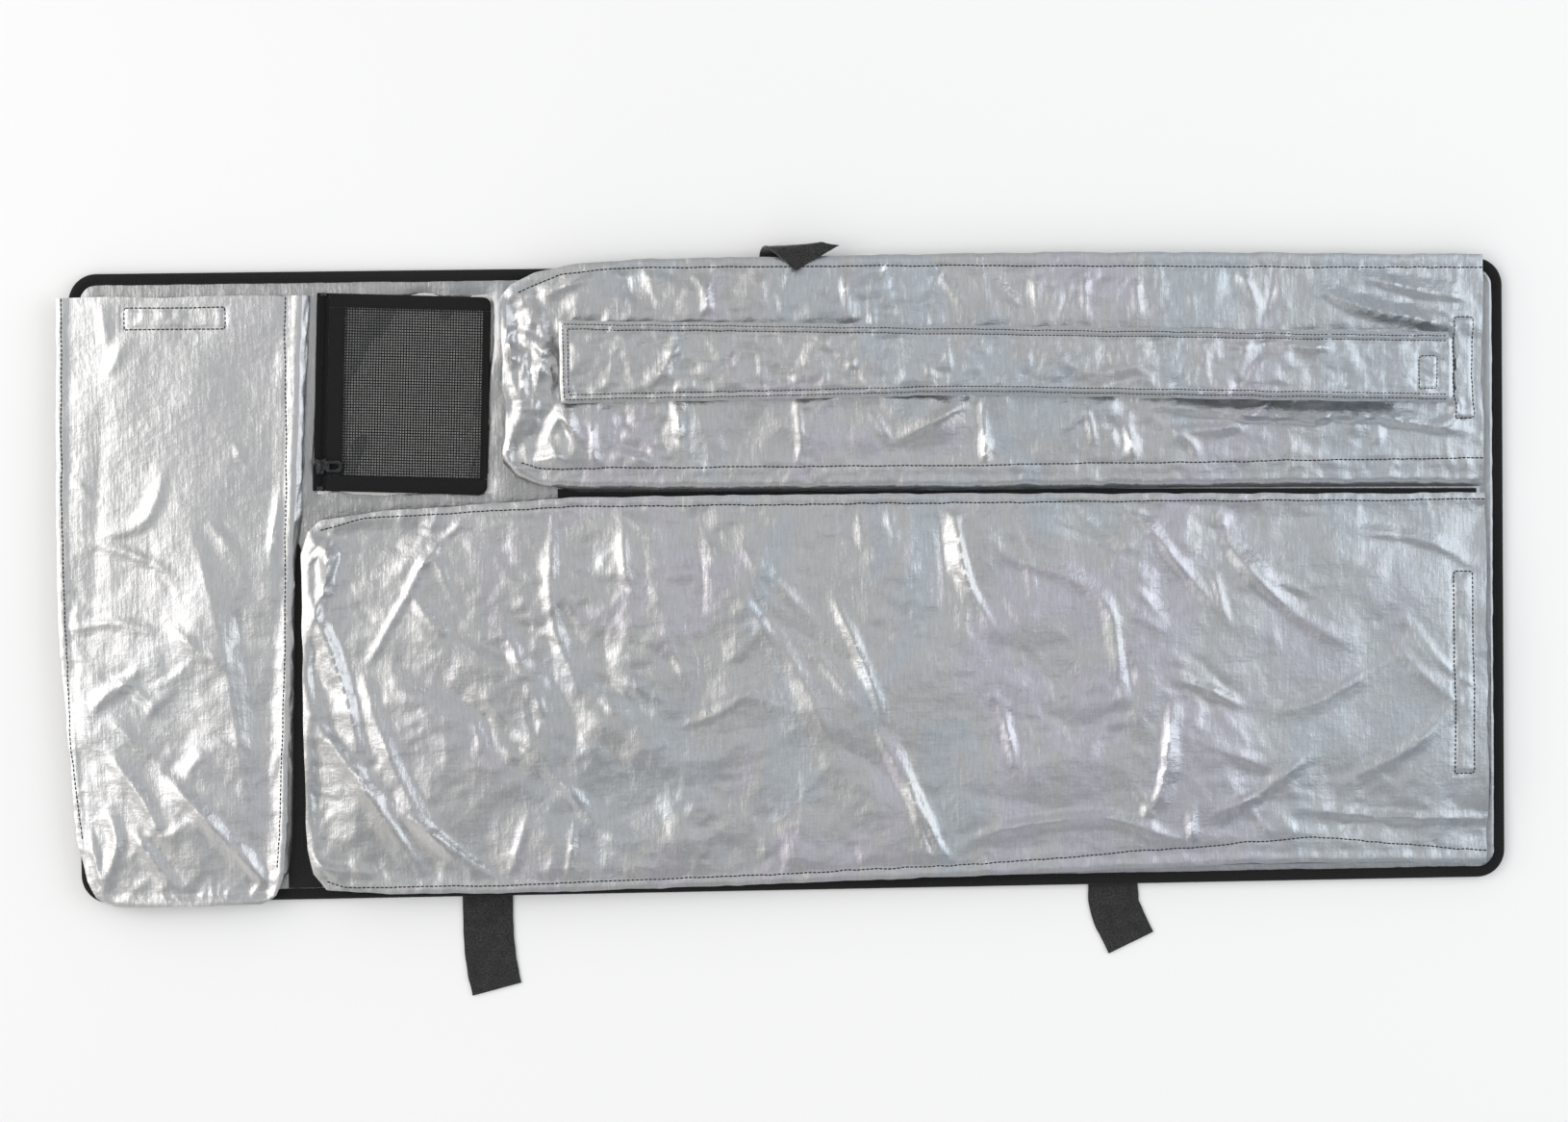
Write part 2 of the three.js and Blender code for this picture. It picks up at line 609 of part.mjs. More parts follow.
// The strap at the far edge climbs behind the upper sleeve and folds forward over its edge.
function buildTopStrap() {
  const station = (y, z, tilt, shift, swing) => {
    const lean = THREE.MathUtils.degToRad(tilt);
    const turn = THREE.MathUtils.degToRad(swing);
    const across = new THREE.Vector3(Math.cos(turn), Math.sin(turn), 0);
    const facing = new THREE.Vector3(0, -Math.sin(lean), Math.cos(lean));
    return [new THREE.Vector3(TOP_STRAP.x + shift, y, z), across, facing];
  };
  ribbon('strap_top_riser', [
    station(250.5, 1.0, 0, 0, 0),
    station(266, 1.1, 10, 0, 0),
    station(271.5, 4, 50, 0.5, 0),
    station(274.5, 12, 80, 2, 0),
    station(275.6, 20, 90, 4, 0),
    station(275.2, 24.2, 105, 5.5, 0),
  ], LOOP_TAPE);
  ribbon('strap_top_flap', [
    station(274.2, 25.2, 145, TOP_STRAP.foldX - 2, 2),
    station(270.5, 26.2, 172, TOP_STRAP.foldX, 5),
    station(263, 26.2, 180, TOP_STRAP.foldX + 3, 10),
    station(256, 25.8, 182, TOP_STRAP.foldX + 6, 16),
  ], LOOP_TAPE);
}

function buildStraps() {
  flatStrap('strap_left', LEFT_STRAP_X, [[16, 0], [16, 2], [16, 4], [15, 4], [14, 4]]);
  flatStrap('strap_right', RIGHT_STRAP_X, [[13, 3], [9, 22], [13, 0], [16, 0]]);
  buildTopStrap();
}

buildBase();
buildPouch();
buildMeshPocket();
buildUpperSleeve();
buildNarrowSleeve();
buildLowerSleeve();
buildStraps();

// The origin is the centre of the footprint, on the floor.
const extent = new THREE.Box3().setFromObject(group);
const middle = extent.getCenter(new THREE.Vector3());
group.position.set(-middle.x, -middle.y, -extent.min.z);

export default group;
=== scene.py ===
"""Looks of the padded gear organiser panel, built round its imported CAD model."""
import math

import bpy
import numpy as np
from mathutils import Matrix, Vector


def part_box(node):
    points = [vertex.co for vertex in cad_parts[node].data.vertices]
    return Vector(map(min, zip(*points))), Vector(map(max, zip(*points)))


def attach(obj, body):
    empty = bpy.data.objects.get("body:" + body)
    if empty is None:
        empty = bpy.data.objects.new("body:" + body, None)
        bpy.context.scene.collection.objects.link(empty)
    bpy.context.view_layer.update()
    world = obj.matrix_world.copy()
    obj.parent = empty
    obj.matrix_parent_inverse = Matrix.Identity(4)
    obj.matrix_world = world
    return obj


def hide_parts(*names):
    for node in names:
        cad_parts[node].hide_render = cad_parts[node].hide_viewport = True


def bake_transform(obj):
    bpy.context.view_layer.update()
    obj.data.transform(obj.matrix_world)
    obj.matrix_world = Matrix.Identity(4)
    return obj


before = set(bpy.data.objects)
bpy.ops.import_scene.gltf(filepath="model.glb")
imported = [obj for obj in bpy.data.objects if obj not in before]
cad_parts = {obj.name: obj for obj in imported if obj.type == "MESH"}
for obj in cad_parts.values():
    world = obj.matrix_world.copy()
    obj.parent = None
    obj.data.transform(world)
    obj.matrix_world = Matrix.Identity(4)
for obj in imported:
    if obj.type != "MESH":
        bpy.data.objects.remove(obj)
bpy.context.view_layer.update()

# === Dimensions in millimetres, measured from the panel's centre: X along, Y across, Z up ===

LOW, HIGH = (np.array(corner) * 1000 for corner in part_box("edge_binding"))
CENTRE = np.array([(LOW[0] + HIGH[0]) / 2, (LOW[1] + HIGH[1]) / 2, 0.0])
HALF = np.array([595.0, 260.0])
CORNER = 23.0
LINING_TOP = 7.6
CLOTH = 0.55
# Where each mouth's lifting part begins, and where the narrow sleeve's front is in two pieces.
SPLIT = {"pouch": 120, "lower": 450, "upper": 430, "narrow": 430}
NARROW_JOIN = 446
# Hook-and-loop strips at the mouths: from and to along the sleeve, then across it.
STRIPS = {"pouch": (213, 231, -547, -466), "lower": (549, 565, -169, -2),
          "upper": (552, 568, 126, 210), "narrow": (519, 534, 151, 178)}
LOOP_STRIP_TOP = 9.2
# A gusset runs from this height to this far below its front, and is declared at least so wide.
GUSSET_FOOT = 7.9
GUSSET_DROP = 1.7


def row(points):
    """Panel millimetres to the row frame's metres."""
    return (np.asarray(points, float) + CENTRE) / 1000


# === Relief: noise, facets, creases and puckers over a grid of positions ===


def fade(t):
    return t * t * t * (t * (t * 6 - 15) + 10)


def step_up(x, low, high):
    t = np.clip((x - low) / (high - low), 0, 1)
    return t * t * (3 - 2 * t)


def noise(x, y, size, seed):
    """Smooth noise from -1 to 1, with features of about size."""
    table = np.random.default_rng(seed).uniform(-1, 1, (64, 64))
    u, v = x / size + 31.7, y / size + 17.3
    i, j = np.floor(u).astype(int), np.floor(v).astype(int)
    s, t = fade(u - i), fade(v - j)

    def at(di, dj):
        return table[(i + di) % 64, (j + dj) % 64]

    near = at(0, 0) * (1 - s) + at(1, 0) * s
    far = at(0, 1) * (1 - s) + at(1, 1) * s
    return near * (1 - t) + far * t


def facets(x, y, size, seed, turn=0.0, warp=0.55):
    """Heights from -1 to 1 of a sheet crumpled into flat facets with sharp folds between."""
    table = np.random.default_rng(seed).uniform(-1, 1, (96, 96))
    cos, sin = math.cos(turn), math.sin(turn)
    u, v = (x * cos + y * sin) / size, (y * cos - x * sin) / size
    u = u + warp * noise(u, v, 1.7, seed + 1) + 40
    v = v + warp * noise(u, v, 1.9, seed + 2) + 40
    skew = (u + v) * 0.366
    i, j = np.floor(u + skew).astype(int), np.floor(v + skew).astype(int)
    p, q = u + skew - i, v + skew - j

    def at(di, dj):
        return table[(i + di) % 96, (j + dj) % 96]

    first, last = at(0, 0), at(1, 1)
    middle = np.where(p > q, at(1, 0), at(0, 1))
    big, small = np.maximum(p, q), np.minimum(p, q)
    return first * (1 - big) + middle * (big - small) + last * small


def smooth_line(points, count=7):
    """More points along a polyline, rounded at its corners."""
    p = np.array(points, float)
    if len(p) < 3:
        return p
    ends = np.vstack([2 * p[0] - p[1], p, 2 * p[-1] - p[-2]])
    out = []
    for a, b, c, d in zip(ends, ends[1:], ends[2:], ends[3:]):
        for t in np.linspace(0, 1, count, endpoint=False):
            out.append(0.5 * (2 * b + (c - a) * t + (2 * a - 5 * b + 4 * c - d) * t**2
                              + (3 * b - a - 3 * c + d) * t**3))
    return np.array(out + [p[-1]])


def crease(x, y, points, height, left, right, sharp=1.25):
    """A ridge along a line, with its own width on each side, dying away at both ends."""
    line = smooth_line(points)
    reach = max(left, right)
    near = ((x > line[:, 0].min() - reach) & (x < line[:, 0].max() + reach)
            & (y > line[:, 1].min() - reach) & (y < line[:, 1].max() + reach))
    out = np.zeros_like(x)
    px, py = x[near], y[near]
    if not px.size:
        return out
    best, side, along = np.full(px.shape, 1e9), np.zeros_like(px), np.zeros_like(px)
    lengths = np.linalg.norm(np.diff(line, axis=0), axis=1)
    total, done = lengths.sum(), 0.0
    for (ax, ay), (bx, by), length in zip(line, line[1:], lengths):
        tx, ty = (bx - ax) / length, (by - ay) / length
        t = np.clip((px - ax) * tx + (py - ay) * ty, 0, length)
        dx, dy = px - ax - tx * t, py - ay - ty * t
        distance = np.hypot(dx, dy)
        closer = distance < best
        best = np.where(closer, distance, best)
        side = np.where(closer, tx * dy - ty * dx, side)
        along = np.where(closer, done + t, along)
        done += length
    width = np.where(side > 0, left, right)
    ends = np.sin(np.pi * np.clip(along / total, 0.02, 0.98)) ** 0.6
    out[near] = height * ends * np.clip(1 - best / width, 0, 1) ** sharp
    return out


def creases(x, y, table):
    return sum(crease(x, y, points, *facts) for *facts, points in table)


def random_creases(x, y, count, seed, heading, spread, size=(25, 90), height=(0.5, 1.8)):
    """Short creases that mostly run along heading, in degrees."""
    rng = np.random.default_rng(seed)
    out = np.zeros_like(x)
    for _ in range(count):
        cx, cy = rng.uniform(x.min(), x.max()), rng.uniform(y.min(), y.max())
        angle = math.radians(heading + rng.normal(0, spread))
        half, bend = rng.uniform(*size) / 2, rng.normal(0, 0.12)
        dx, dy = math.cos(angle) * half, math.sin(angle) * half
        points = [(cx - dx, cy - dy), (cx - dy * bend, cy + dx * bend), (cx + dx, cy + dy)]
        rise = rng.uniform(*height) * rng.choice([1, 1, -1])
        out += crease(x, y, points, rise, rng.uniform(4, 14), rng.uniform(3, 8))
    return out


def puckers(along, off, seed, spacing=(6, 30), height=(0.2, 0.85), reach=(5, 22), start=0.0):
    """Small gathers square to a seam. along runs on the seam and off is the distance from it."""
    rng = np.random.default_rng(seed)
    out = np.zeros_like(along)
    at = along.min() + rng.uniform(0, 8)
    while at < along.max():
        lean, width = rng.normal(0, 0.3), rng.uniform(1.6, 4.5)
        far, rise = rng.uniform(*reach), rng.uniform(*height) * rng.choice([1, 1, -0.8])
        distance = np.abs(along - at - lean * off)
        across = -rng.uniform(0, 8)
        fall = np.exp(-np.clip(off - start, 0, None) / far) * step_up(off, across - 2, across + 1.5)
        widen = width * (1 + np.clip(off, 0, 60) / 30)
        out += rise * np.clip(1 - distance / widen, 0, 1) ** 1.4 * fall
        at += rng.uniform(*spacing)
    return out


# === Meshes ===


def build(name, points, faces, material, uv=None, sharp=38):
    """A mesh object from points in panel millimetres."""
    mesh = bpy.data.meshes.new(name)
    faces = faces if isinstance(faces, list) else faces.tolist()
    mesh.from_pydata(row(points).tolist(), [], faces)
    if uv is not None:
        corner = np.zeros(len(mesh.loops), int)
        mesh.loops.foreach_get("vertex_index", corner)
        layer = mesh.uv_layers.new(name="run")
        layer.data.foreach_set("uv", (uv[corner] / 1000).astype(np.float32).ravel())
    mesh.materials.append(material)
    mesh.shade_smooth()
    mesh.set_sharp_from_angle(angle=math.radians(sharp))
    piece = bpy.data.objects.new(name, mesh)
    bpy.context.scene.collection.objects.link(piece)
    return piece


def unit(v):
    return v / np.maximum(np.linalg.norm(v, axis=-1, keepdims=True), 1e-9)


def grid_normals(grid):
    return unit(np.cross(np.gradient(grid, axis=0), np.gradient(grid, axis=1)))


def run_lengths(line):
    return np.concatenate([[0], np.cumsum(np.linalg.norm(np.diff(line, axis=0), axis=1))])


def shell(name, grid, material, thick=CLOTH, flip=False, down=False):
    """A closed sheet whose outer face is grid. flip turns it over, down thickens it along Z."""
    n, m = grid.shape[:2]
    normal = grid_normals(grid) * (-1 if flip else 1)
    if down:
        normal = np.broadcast_to([0.0, 0.0, 1.0], grid.shape)
    inner = grid - normal * thick
    at = np.arange(n * m).reshape(n, m)
    under = at + n * m

    def quads(a, b, c, d):
        return np.stack([a.ravel(), b.ravel(), c.ravel(), d.ravel()], 1)

    faces = np.vstack([
        quads(at[:-1, :-1], at[1:, :-1], at[1:, 1:], at[:-1, 1:]),
        quads(under[:-1, :-1], under[:-1, 1:], under[1:, 1:], under[1:, :-1]),
        quads(at[1:, 0], at[:-1, 0], under[:-1, 0], under[1:, 0]),
        quads(at[:-1, -1], at[1:, -1], under[1:, -1], under[:-1, -1]),
        quads(at[0, :-1], at[0, 1:], under[0, 1:], under[0, :-1]),
        quads(at[-1, 1:], at[-1, :-1], under[-1, :-1], under[-1, 1:]),
    ])
    if flip:
        faces = faces[:, ::-1]
    u, v = run_lengths(grid[:, m // 2]), run_lengths(grid[n // 2])
    uv = np.stack(np.meshgrid(u, v, indexing="ij"), -1).reshape(-1, 2)
    points = np.vstack([grid.reshape(-1, 3), inner.reshape(-1, 3)])
    return build(name, points, faces, material, np.vstack([uv, uv]))


def tubes(name, paths, radii, material, sides=6, squash=1.0):
    """Round bars along paths, as one mesh. squash flattens their section along Z."""
    points, faces, start = [], [], 0
    for path, radius in zip(paths, radii):
        path = np.asarray(path, float)
        n = len(path)
        tangent = unit(np.gradient(path, axis=0))
        side = unit(np.cross(tangent, np.array([0.02, 0.03, 1.0])))
        up = np.cross(side, tangent)
        angle = np.arange(sides) * 2 * math.pi / sides
        ring = (path[:, None] + radius * (np.cos(angle)[None, :, None] * side[:, None]
                + squash * np.sin(angle)[None, :, None] * up[:, None]))
        points.append(ring.reshape(-1, 3))
        at = start + np.arange(n * sides).reshape(n, sides)
        here, nxt = at[:-1], at[1:]
        turned, turned_next = np.roll(here, -1, 1), np.roll(nxt, -1, 1)
        faces += np.stack([here, nxt, turned_next, turned], -1).reshape(-1, 4).tolist()
        faces += [at[0].tolist(), at[-1][::-1].tolist()]
        start += n * sides
    return build(name, np.vstack(points), faces, material)


def resample(line, pitch):
    lengths = run_lengths(line)
    count = max(int(lengths[-1] / pitch), 1)
    marks = np.linspace(0, lengths[-1], count + 1)
    return np.stack([np.interp(marks, lengths, line[:, k]) for k in range(line.shape[1])], 1)


def thread(name, lines, material, pitch=3.7, radius=0.55):
    """Lock stitches along lines. A line holds six columns: its points and the normals there."""
    rows_ = [resample(np.asarray(line), pitch) for line in lines]
    start = np.vstack([r[:-1] for r in rows_])
    end = np.vstack([r[1:] for r in rows_])
    normal = unit((start[:, 3:] + end[:, 3:]) / 2)
    p, q = start[:, :3], end[:, :3]
    across = unit(np.cross(q - p, normal))
    stations = []
    for t, lift in ((0.1, -0.3), (0.28, 0.16), (0.72, 0.16), (0.9, -0.3)):
        middle = p + (q - p) * t + normal * lift
        for c, s in ((1, 0), (0, 1), (-1, 0), (0, -1)):
            stations.append(middle + radius * (c * across + s * normal))
    points = np.stack(stations, 1)
    template = [[0, 1, 2, 3], [15, 14, 13, 12]]
    for k in range(3):
        for i in range(4):
            j = (i + 1) % 4
            template.append([4 * k + i, 4 * k + 4 + i, 4 * k + 4 + j, 4 * k + j])
    offsets = 16 * np.arange(len(points))[:, None, None]
    faces = (np.array(template)[None] + offsets).reshape(-1, 4)
    return build(name, points.reshape(-1, 3), faces, material, sharp=60)


# === Materials ===


class Finish:
    """A node material. Positions are the object's own, which are the row frame's metres."""

    def __init__(self, name):
        self.material = bpy.data.materials.new(name)
        self.material.use_nodes = True
        self.tree = self.material.node_tree
        self.shader = self.tree.nodes["Principled BSDF"]
        self.place = self.add("TexCoord").outputs["Object"]

    def add(self, kind, inputs=None, **settings):
        node = self.tree.nodes.new("ShaderNode" + kind)
        for key, value in settings.items():
            setattr(node, key, value)
        for key, value in (inputs or {}).items():
            self.put(node.inputs[key], value)
        return node

    def put(self, socket, value):
        if isinstance(value, bpy.types.NodeSocket):
            self.tree.links.new(value, socket)
        else:
            socket.default_value = value

    def set(self, **values):
        for key, value in values.items():
            self.put(self.shader.inputs[key.replace("_", " ")], value)

    def noise(self, scale, detail=3.0, place=None, rough=0.5, distort=0.0):
        node = self.add("TexNoise", {"Vector": place or self.place, "Scale": scale,
                                     "Detail": detail, "Roughness": rough, "Distortion": distort})
        return node.outputs["Fac"]

    def stretched(self, scale):
        return self.add("Mapping", {"Vector": self.place, "Scale": scale}).outputs[0]

    def math(self, operation, a, b):
        return self.add("Math", {0: a, 1: b}, operation=operation).outputs[0]

    def ramp(self, factor, *stops):
        node = self.add("ValToRGB", {"Fac": factor})
        elements = node.color_ramp.elements
        while len(elements) < len(stops):
            elements.new(0.5)
        for element, (position, colour) in zip(elements, stops):
            element.position = position
            element.color = (*colour, 1) if hasattr(colour, "__len__") else (colour,) * 3 + (1,)
        return node.outputs["Color"]

    def range(self, factor, low, high):
        return self.add("MapRange", {"Value": factor, "To Min": low, "To Max": high}).outputs[0]

    def mix(self, factor, a, b):
        node = self.add("Mix", data_type="RGBA")
        self.put(node.inputs["Factor"], factor)
        self.put(node.inputs[6], a if isinstance(a, bpy.types.NodeSocket) else (*a, 1))
        self.put(node.inputs[7], b if isinstance(b, bpy.types.NodeSocket) else (*b, 1))
        return node.outputs[2]

    def lines(self, pitch, axis, place=None, distort=0.0):
        """Even ribs of that pitch, in metres, numbered along axis X or Y."""
        node = self.add("TexWave", {"Vector": place or self.place, "Scale": math.pi / (10 * pitch),
                                    "Distortion": distort, "Detail": 1.0, "Detail Scale": 2.0},
                        wave_type="BANDS", bands_direction=axis, wave_profile="SIN")
        return node.outputs["Fac"]

    def bump(self, *layers):
        """Layers of (height, distance in metres, strength)."""
        normal = None
        for height, distance, strength in layers:
            facts = {"Height": height, "Distance": distance, "Strength": strength}
            if normal is not None:
                facts["Normal"] = normal
            normal = self.add("Bump", facts).outputs["Normal"]
        self.put(self.shader.inputs["Normal"], normal)


def silver_finish(name, painted_light_level=1.0):
    """Woven slit film with a metal face: grey, blue and lilac patches, a fine weave and a painted
    bluish light cast towards +X. Its brightness factor scales every colour, as painted light or
    shade.
    """
    f = Finish(name)

    # Painted light or shade: scales a colour by the brightness factor, lighter or darker than the
    # film itself.
    def with_painted_light(*colour):
        return tuple(v * painted_light_level for v in colour)

    patches = f.noise(7.0, 2.0, rough=0.45)
    base = f.ramp(patches, (0.3, with_painted_light(0.505, 0.508, 0.51)), (0.62, with_painted_light(0.55, 0.55, 0.552)))
    across = f.add("SeparateXYZ", {"Vector": f.place}).outputs["X"]
    # Painted light: the colour turns bluer towards +X, a painted cast of a cold lamp on the right.
    painted_blue_light = f.add("MapRange", {"Value": across, "From Min": 0.0, "From Max": 0.5,
                              "To Min": 0.0, "To Max": 0.85}).outputs[0]
    base = f.mix(painted_blue_light, base, with_painted_light(0.475, 0.515, 0.555))
    film = f.noise(9.0, 2.0, f.stretched((1.0, 0.6, 1.0)), 0.5, 1.2)
    hue = f.ramp(film, (0.41, with_painted_light(0.48, 0.54, 0.60)), (0.46, with_painted_light(0.53, 0.53, 0.535)),
                 (0.55, with_painted_light(0.53, 0.53, 0.535)), (0.60, with_painted_light(0.56, 0.528, 0.625)))
    middle = f.add("MapRange", {"Value": f.math("ABSOLUTE", f.math("SUBTRACT", across, 0.1), 0.0),
                                "From Min": 0.12, "From Max": 0.45,
                                "To Min": 0.55, "To Max": 0.1}).outputs[0]
    base = f.mix(middle, base, hue)
    streaks = f.noise(620.0, 3.0, f.stretched((1.0, 0.12, 1.0)), 0.7)
    base = f.mix(f.ramp(streaks, (0.4, (0.0, 0.0, 0.0)), (0.6, (0.4, 0.4, 0.4))), base,
                 with_painted_light(0.40, 0.405, 0.41))
    f.set(Base_Color=base, Metallic=0.9,
          Roughness=f.range(f.noise(26.0, 4.0, rough=0.6), 0.24, 0.40))
    slits = f.noise(420.0, 2.0, f.stretched((1.0, 0.1, 1.0)), 0.6)
    slits_across = f.noise(380.0, 2.0, f.stretched((0.15, 1.0, 1.0)), 0.6)
    fine = f.noise(240.0, 3.0, rough=0.6)
    crumple = f.add("TexVoronoi", {"Vector": f.place, "Scale": 95.0, "Randomness": 1.0},
                    feature="F1", distance="EUCLIDEAN").outputs["Distance"]
    f.bump((crumple, 0.0014, 0.22), (fine, 0.0008, 0.38), (slits, 0.0007, 0.3),
           (slits_across, 0.0005, 0.25))
    return f.material


def cloth_finish(name, dark, light, pitch, rough=0.85, sheen=0.25):
    """Plain woven cloth, ribs both ways."""
    f = Finish(name)
    f.set(Base_Color=f.ramp(f.noise(60.0, 5.0), (0.35, dark), (0.65, light)),
          Roughness=f.range(f.noise(300.0), rough - 0.08, rough + 0.06),
          Sheen_Weight=sheen, Sheen_Roughness=0.5)
    weave = f.math("MULTIPLY", f.lines(pitch, "X"), f.lines(pitch, "Y"))
    f.bump((f.noise(900.0, 2.0), 0.0002, 0.3), (weave, 0.0004, 0.7))
    return f.material


def ribbed_finish(name, dark, light, pitch, rough=0.7, sheen=0.2):
    """Grosgrain tape, with ribs square to the way it runs."""
    f = Finish(name)
    run = f.add("UVMap", uv_map="run").outputs["UV"]
    ribs = f.lines(pitch, "X", run, 0.3)
    wear = f.noise(120.0, 4.0)
    colour = f.mix(f.range(ribs, 0.0, 0.5), dark, light)
    f.set(Base_Color=f.mix(f.range(wear, 0.0, 0.5), colour, light),
          Roughness=f.range(wear, rough - 0.1, rough + 0.1),
          Sheen_Weight=sheen, Sheen_Roughness=0.4, Specular_IOR_Level=0.2)
    f.bump((f.noise(1500.0, 2.0), 0.0001, 0.3), (ribs, 0.0004, 0.6))
    return f.material


def pile_finish(name, dark, light, scale=1100.0):
    """The matted loops of a hook-and-loop tape."""
    f = Finish(name)
    loops = f.noise(scale, 4.0, rough=0.7)
    tufts = f.noise(scale / 6, 3.0, rough=0.6)
    fibres = f.ramp(loops, (0.35, dark), (0.7, light))
    f.set(Base_Color=f.mix(f.range(tufts, 0.0, 1.0), fibres, dark),
          Roughness=0.95, Sheen_Weight=0.5, Sheen_Roughness=0.45)
    f.bump((tufts, 0.0012, 0.5), (loops, 0.0008, 0.8))
    return f.material


def metal_finish(name):
    f = Finish(name)
    worn = f.noise(420.0, 4.0, rough=0.7)
    f.set(Base_Color=f.ramp(worn, (0.4, (0.02, 0.021, 0.023)), (0.8, (0.09, 0.092, 0.095))),
          Metallic=0.7, Roughness=f.range(worn, 0.3, 0.5))
    f.bump((worn, 0.0001, 0.3))
    return f.material


def coated_finish(name):
    """Plastic-coated yarn."""
    f = Finish(name)
    specks = f.noise(700.0, 3.0)
    f.set(Base_Color=f.ramp(specks, (0.3, (0.004, 0.004, 0.0045)), (0.75, (0.014, 0.0145, 0.016))),
          Roughness=f.range(specks, 0.35, 0.55), Specular_IOR_Level=0.25)
    f.bump((specks, 0.0002, 0.4))
    return f.material


def foam_finish(name):
    f = Finish(name)
    cells = f.add("TexVoronoi", {"Vector": f.place, "Scale": 900.0}).outputs["Distance"]
    f.set(Base_Color=f.ramp(cells, (0.1, (0.62, 0.62, 0.6)), (0.7, (0.8, 0.8, 0.78))),
          Roughness=f.range(cells, 0.85, 1.0))
    f.bump((cells, 0.0004, 0.6))
    return f.material


SILVER = silver_finish("silver_laminate")
# Painted shade: the lining is a darker copy of the silver film, standing in for the shade it lies
# in between and under the pockets.
SHADED_LINING = silver_finish("silver_lining_painted_shade", painted_light_level=0.76)
# Painted light: the pouch is a brighter copy of the silver film, standing in for the stronger light
# that falls on it.
LIT_POUCH_SILVER = silver_finish("silver_pouch_painted_light", painted_light_level=1.08)
BACKING = cloth_finish("back_polyester", (0.010, 0.0105, 0.012), (0.022, 0.023, 0.025), 0.0007)
BINDING = ribbed_finish("binding_grosgrain", (0.004, 0.004, 0.0045), (0.017, 0.017, 0.018), 0.0011,
                        sheen=0.1)
BORDER = ribbed_finish("border_grosgrain", (0.003, 0.003, 0.0035), (0.012, 0.012, 0.013), 0.0011,
                       sheen=0.08)
ZIP_TAPE = ribbed_finish("zip_tape_twill", (0.003, 0.003, 0.0035), (0.010, 0.010, 0.011), 0.0008,
                         sheen=0.08)
GUTTER = ribbed_finish("gutter_rib", (0.004, 0.004, 0.0045), (0.030, 0.030, 0.032), 0.0016,
                       sheen=0.08)
STRAP_LOOP = pile_finish("strap_pile", (0.002, 0.002, 0.0025), (0.085, 0.085, 0.088), 620.0)
GREY_LOOP = pile_finish("grey_pile", (0.25, 0.26, 0.27), (0.5, 0.51, 0.52))
GREY_HOOK = pile_finish("grey_hooks", (0.2, 0.21, 0.22), (0.55, 0.56, 0.57), 1500.0)
MESH = coated_finish("coated_mesh")
METAL = metal_finish("painted_metal")
FOAM = foam_finish("closed_cell_foam")
THREAD = ribbed_finish("grey_thread", (0.018, 0.019, 0.021), (0.06, 0.062, 0.067), 0.0005, 0.7)
BLACK_THREAD = ribbed_finish("black_thread", (0.01, 0.01, 0.011), (0.03, 0.03, 0.032), 0.0005)

# === Base panel ===


def outline(step):
    """Points round the panel's rounded outline and the outward directions there."""
    arc_steps = 14
    cx, cy = HALF - CORNER
    points, outward = [], []
    corners = [(cx, cy, 0), (-cx, cy, 90), (-cx, -cy, 180), (cx, -cy, 270)]
    for k, (x, y, turn) in enumerate(corners):
        for i in range(arc_steps + 1):
            angle = math.radians(turn + 90 * i / arc_steps)
            d = np.array([math.cos(angle), math.sin(angle)])
            points.append(np.array([x, y]) + CORNER * d)
            outward.append(d)
        nx, ny, _ = corners[(k + 1) % 4]
        end = np.array([nx, ny]) + CORNER * outward[-1]
        count = int(np.linalg.norm(end - points[-1]) / step)
        start = np.array([x, y]) + CORNER * outward[-1]
        for t in np.arange(1, count) / count:
            points.append((1 - t) * start + t * end)
            outward.append(outward[-1])
    return np.array(points), np.array(outward)


def inset_of(x, y):
    """Distance in from the panel's rounded outline."""
    qx, qy = np.abs(x) - (HALF[0] - CORNER), np.abs(y) - (HALF[1] - CORNER)
    outside = np.hypot(np.clip(qx, 0, None), np.clip(qy, 0, None))
    return CORNER - outside - np.minimum(np.maximum(qx, qy), 0)


def panel_grid(step, inset):
    """A grid over the panel whose corners are drawn in to its rounded outline."""
    half, radius = HALF - inset, CORNER - inset
    x = np.linspace(-half[0], half[0], int(2 * half[0] / step) + 1)
    y = np.linspace(-half[1], half[1], int(2 * half[1] / step) + 1)
    x, y = np.meshgrid(x, y, indexing="ij")
    dx = np.clip(np.abs(x) - (half[0] - radius), 0, None)
    dy = np.clip(np.abs(y) - (half[1] - radius), 0, None)
    pull = np.maximum(dx, dy) / np.maximum(np.hypot(dx, dy), 1e-6)
    pull = np.where((dx > 0) & (dy > 0), pull, 1.0)
    return x - np.sign(x) * dx * (1 - pull), y - np.sign(y) * dy * (1 - pull)


def seam_y(x):
    return np.interp(x, [-247, 576], [76, 65])


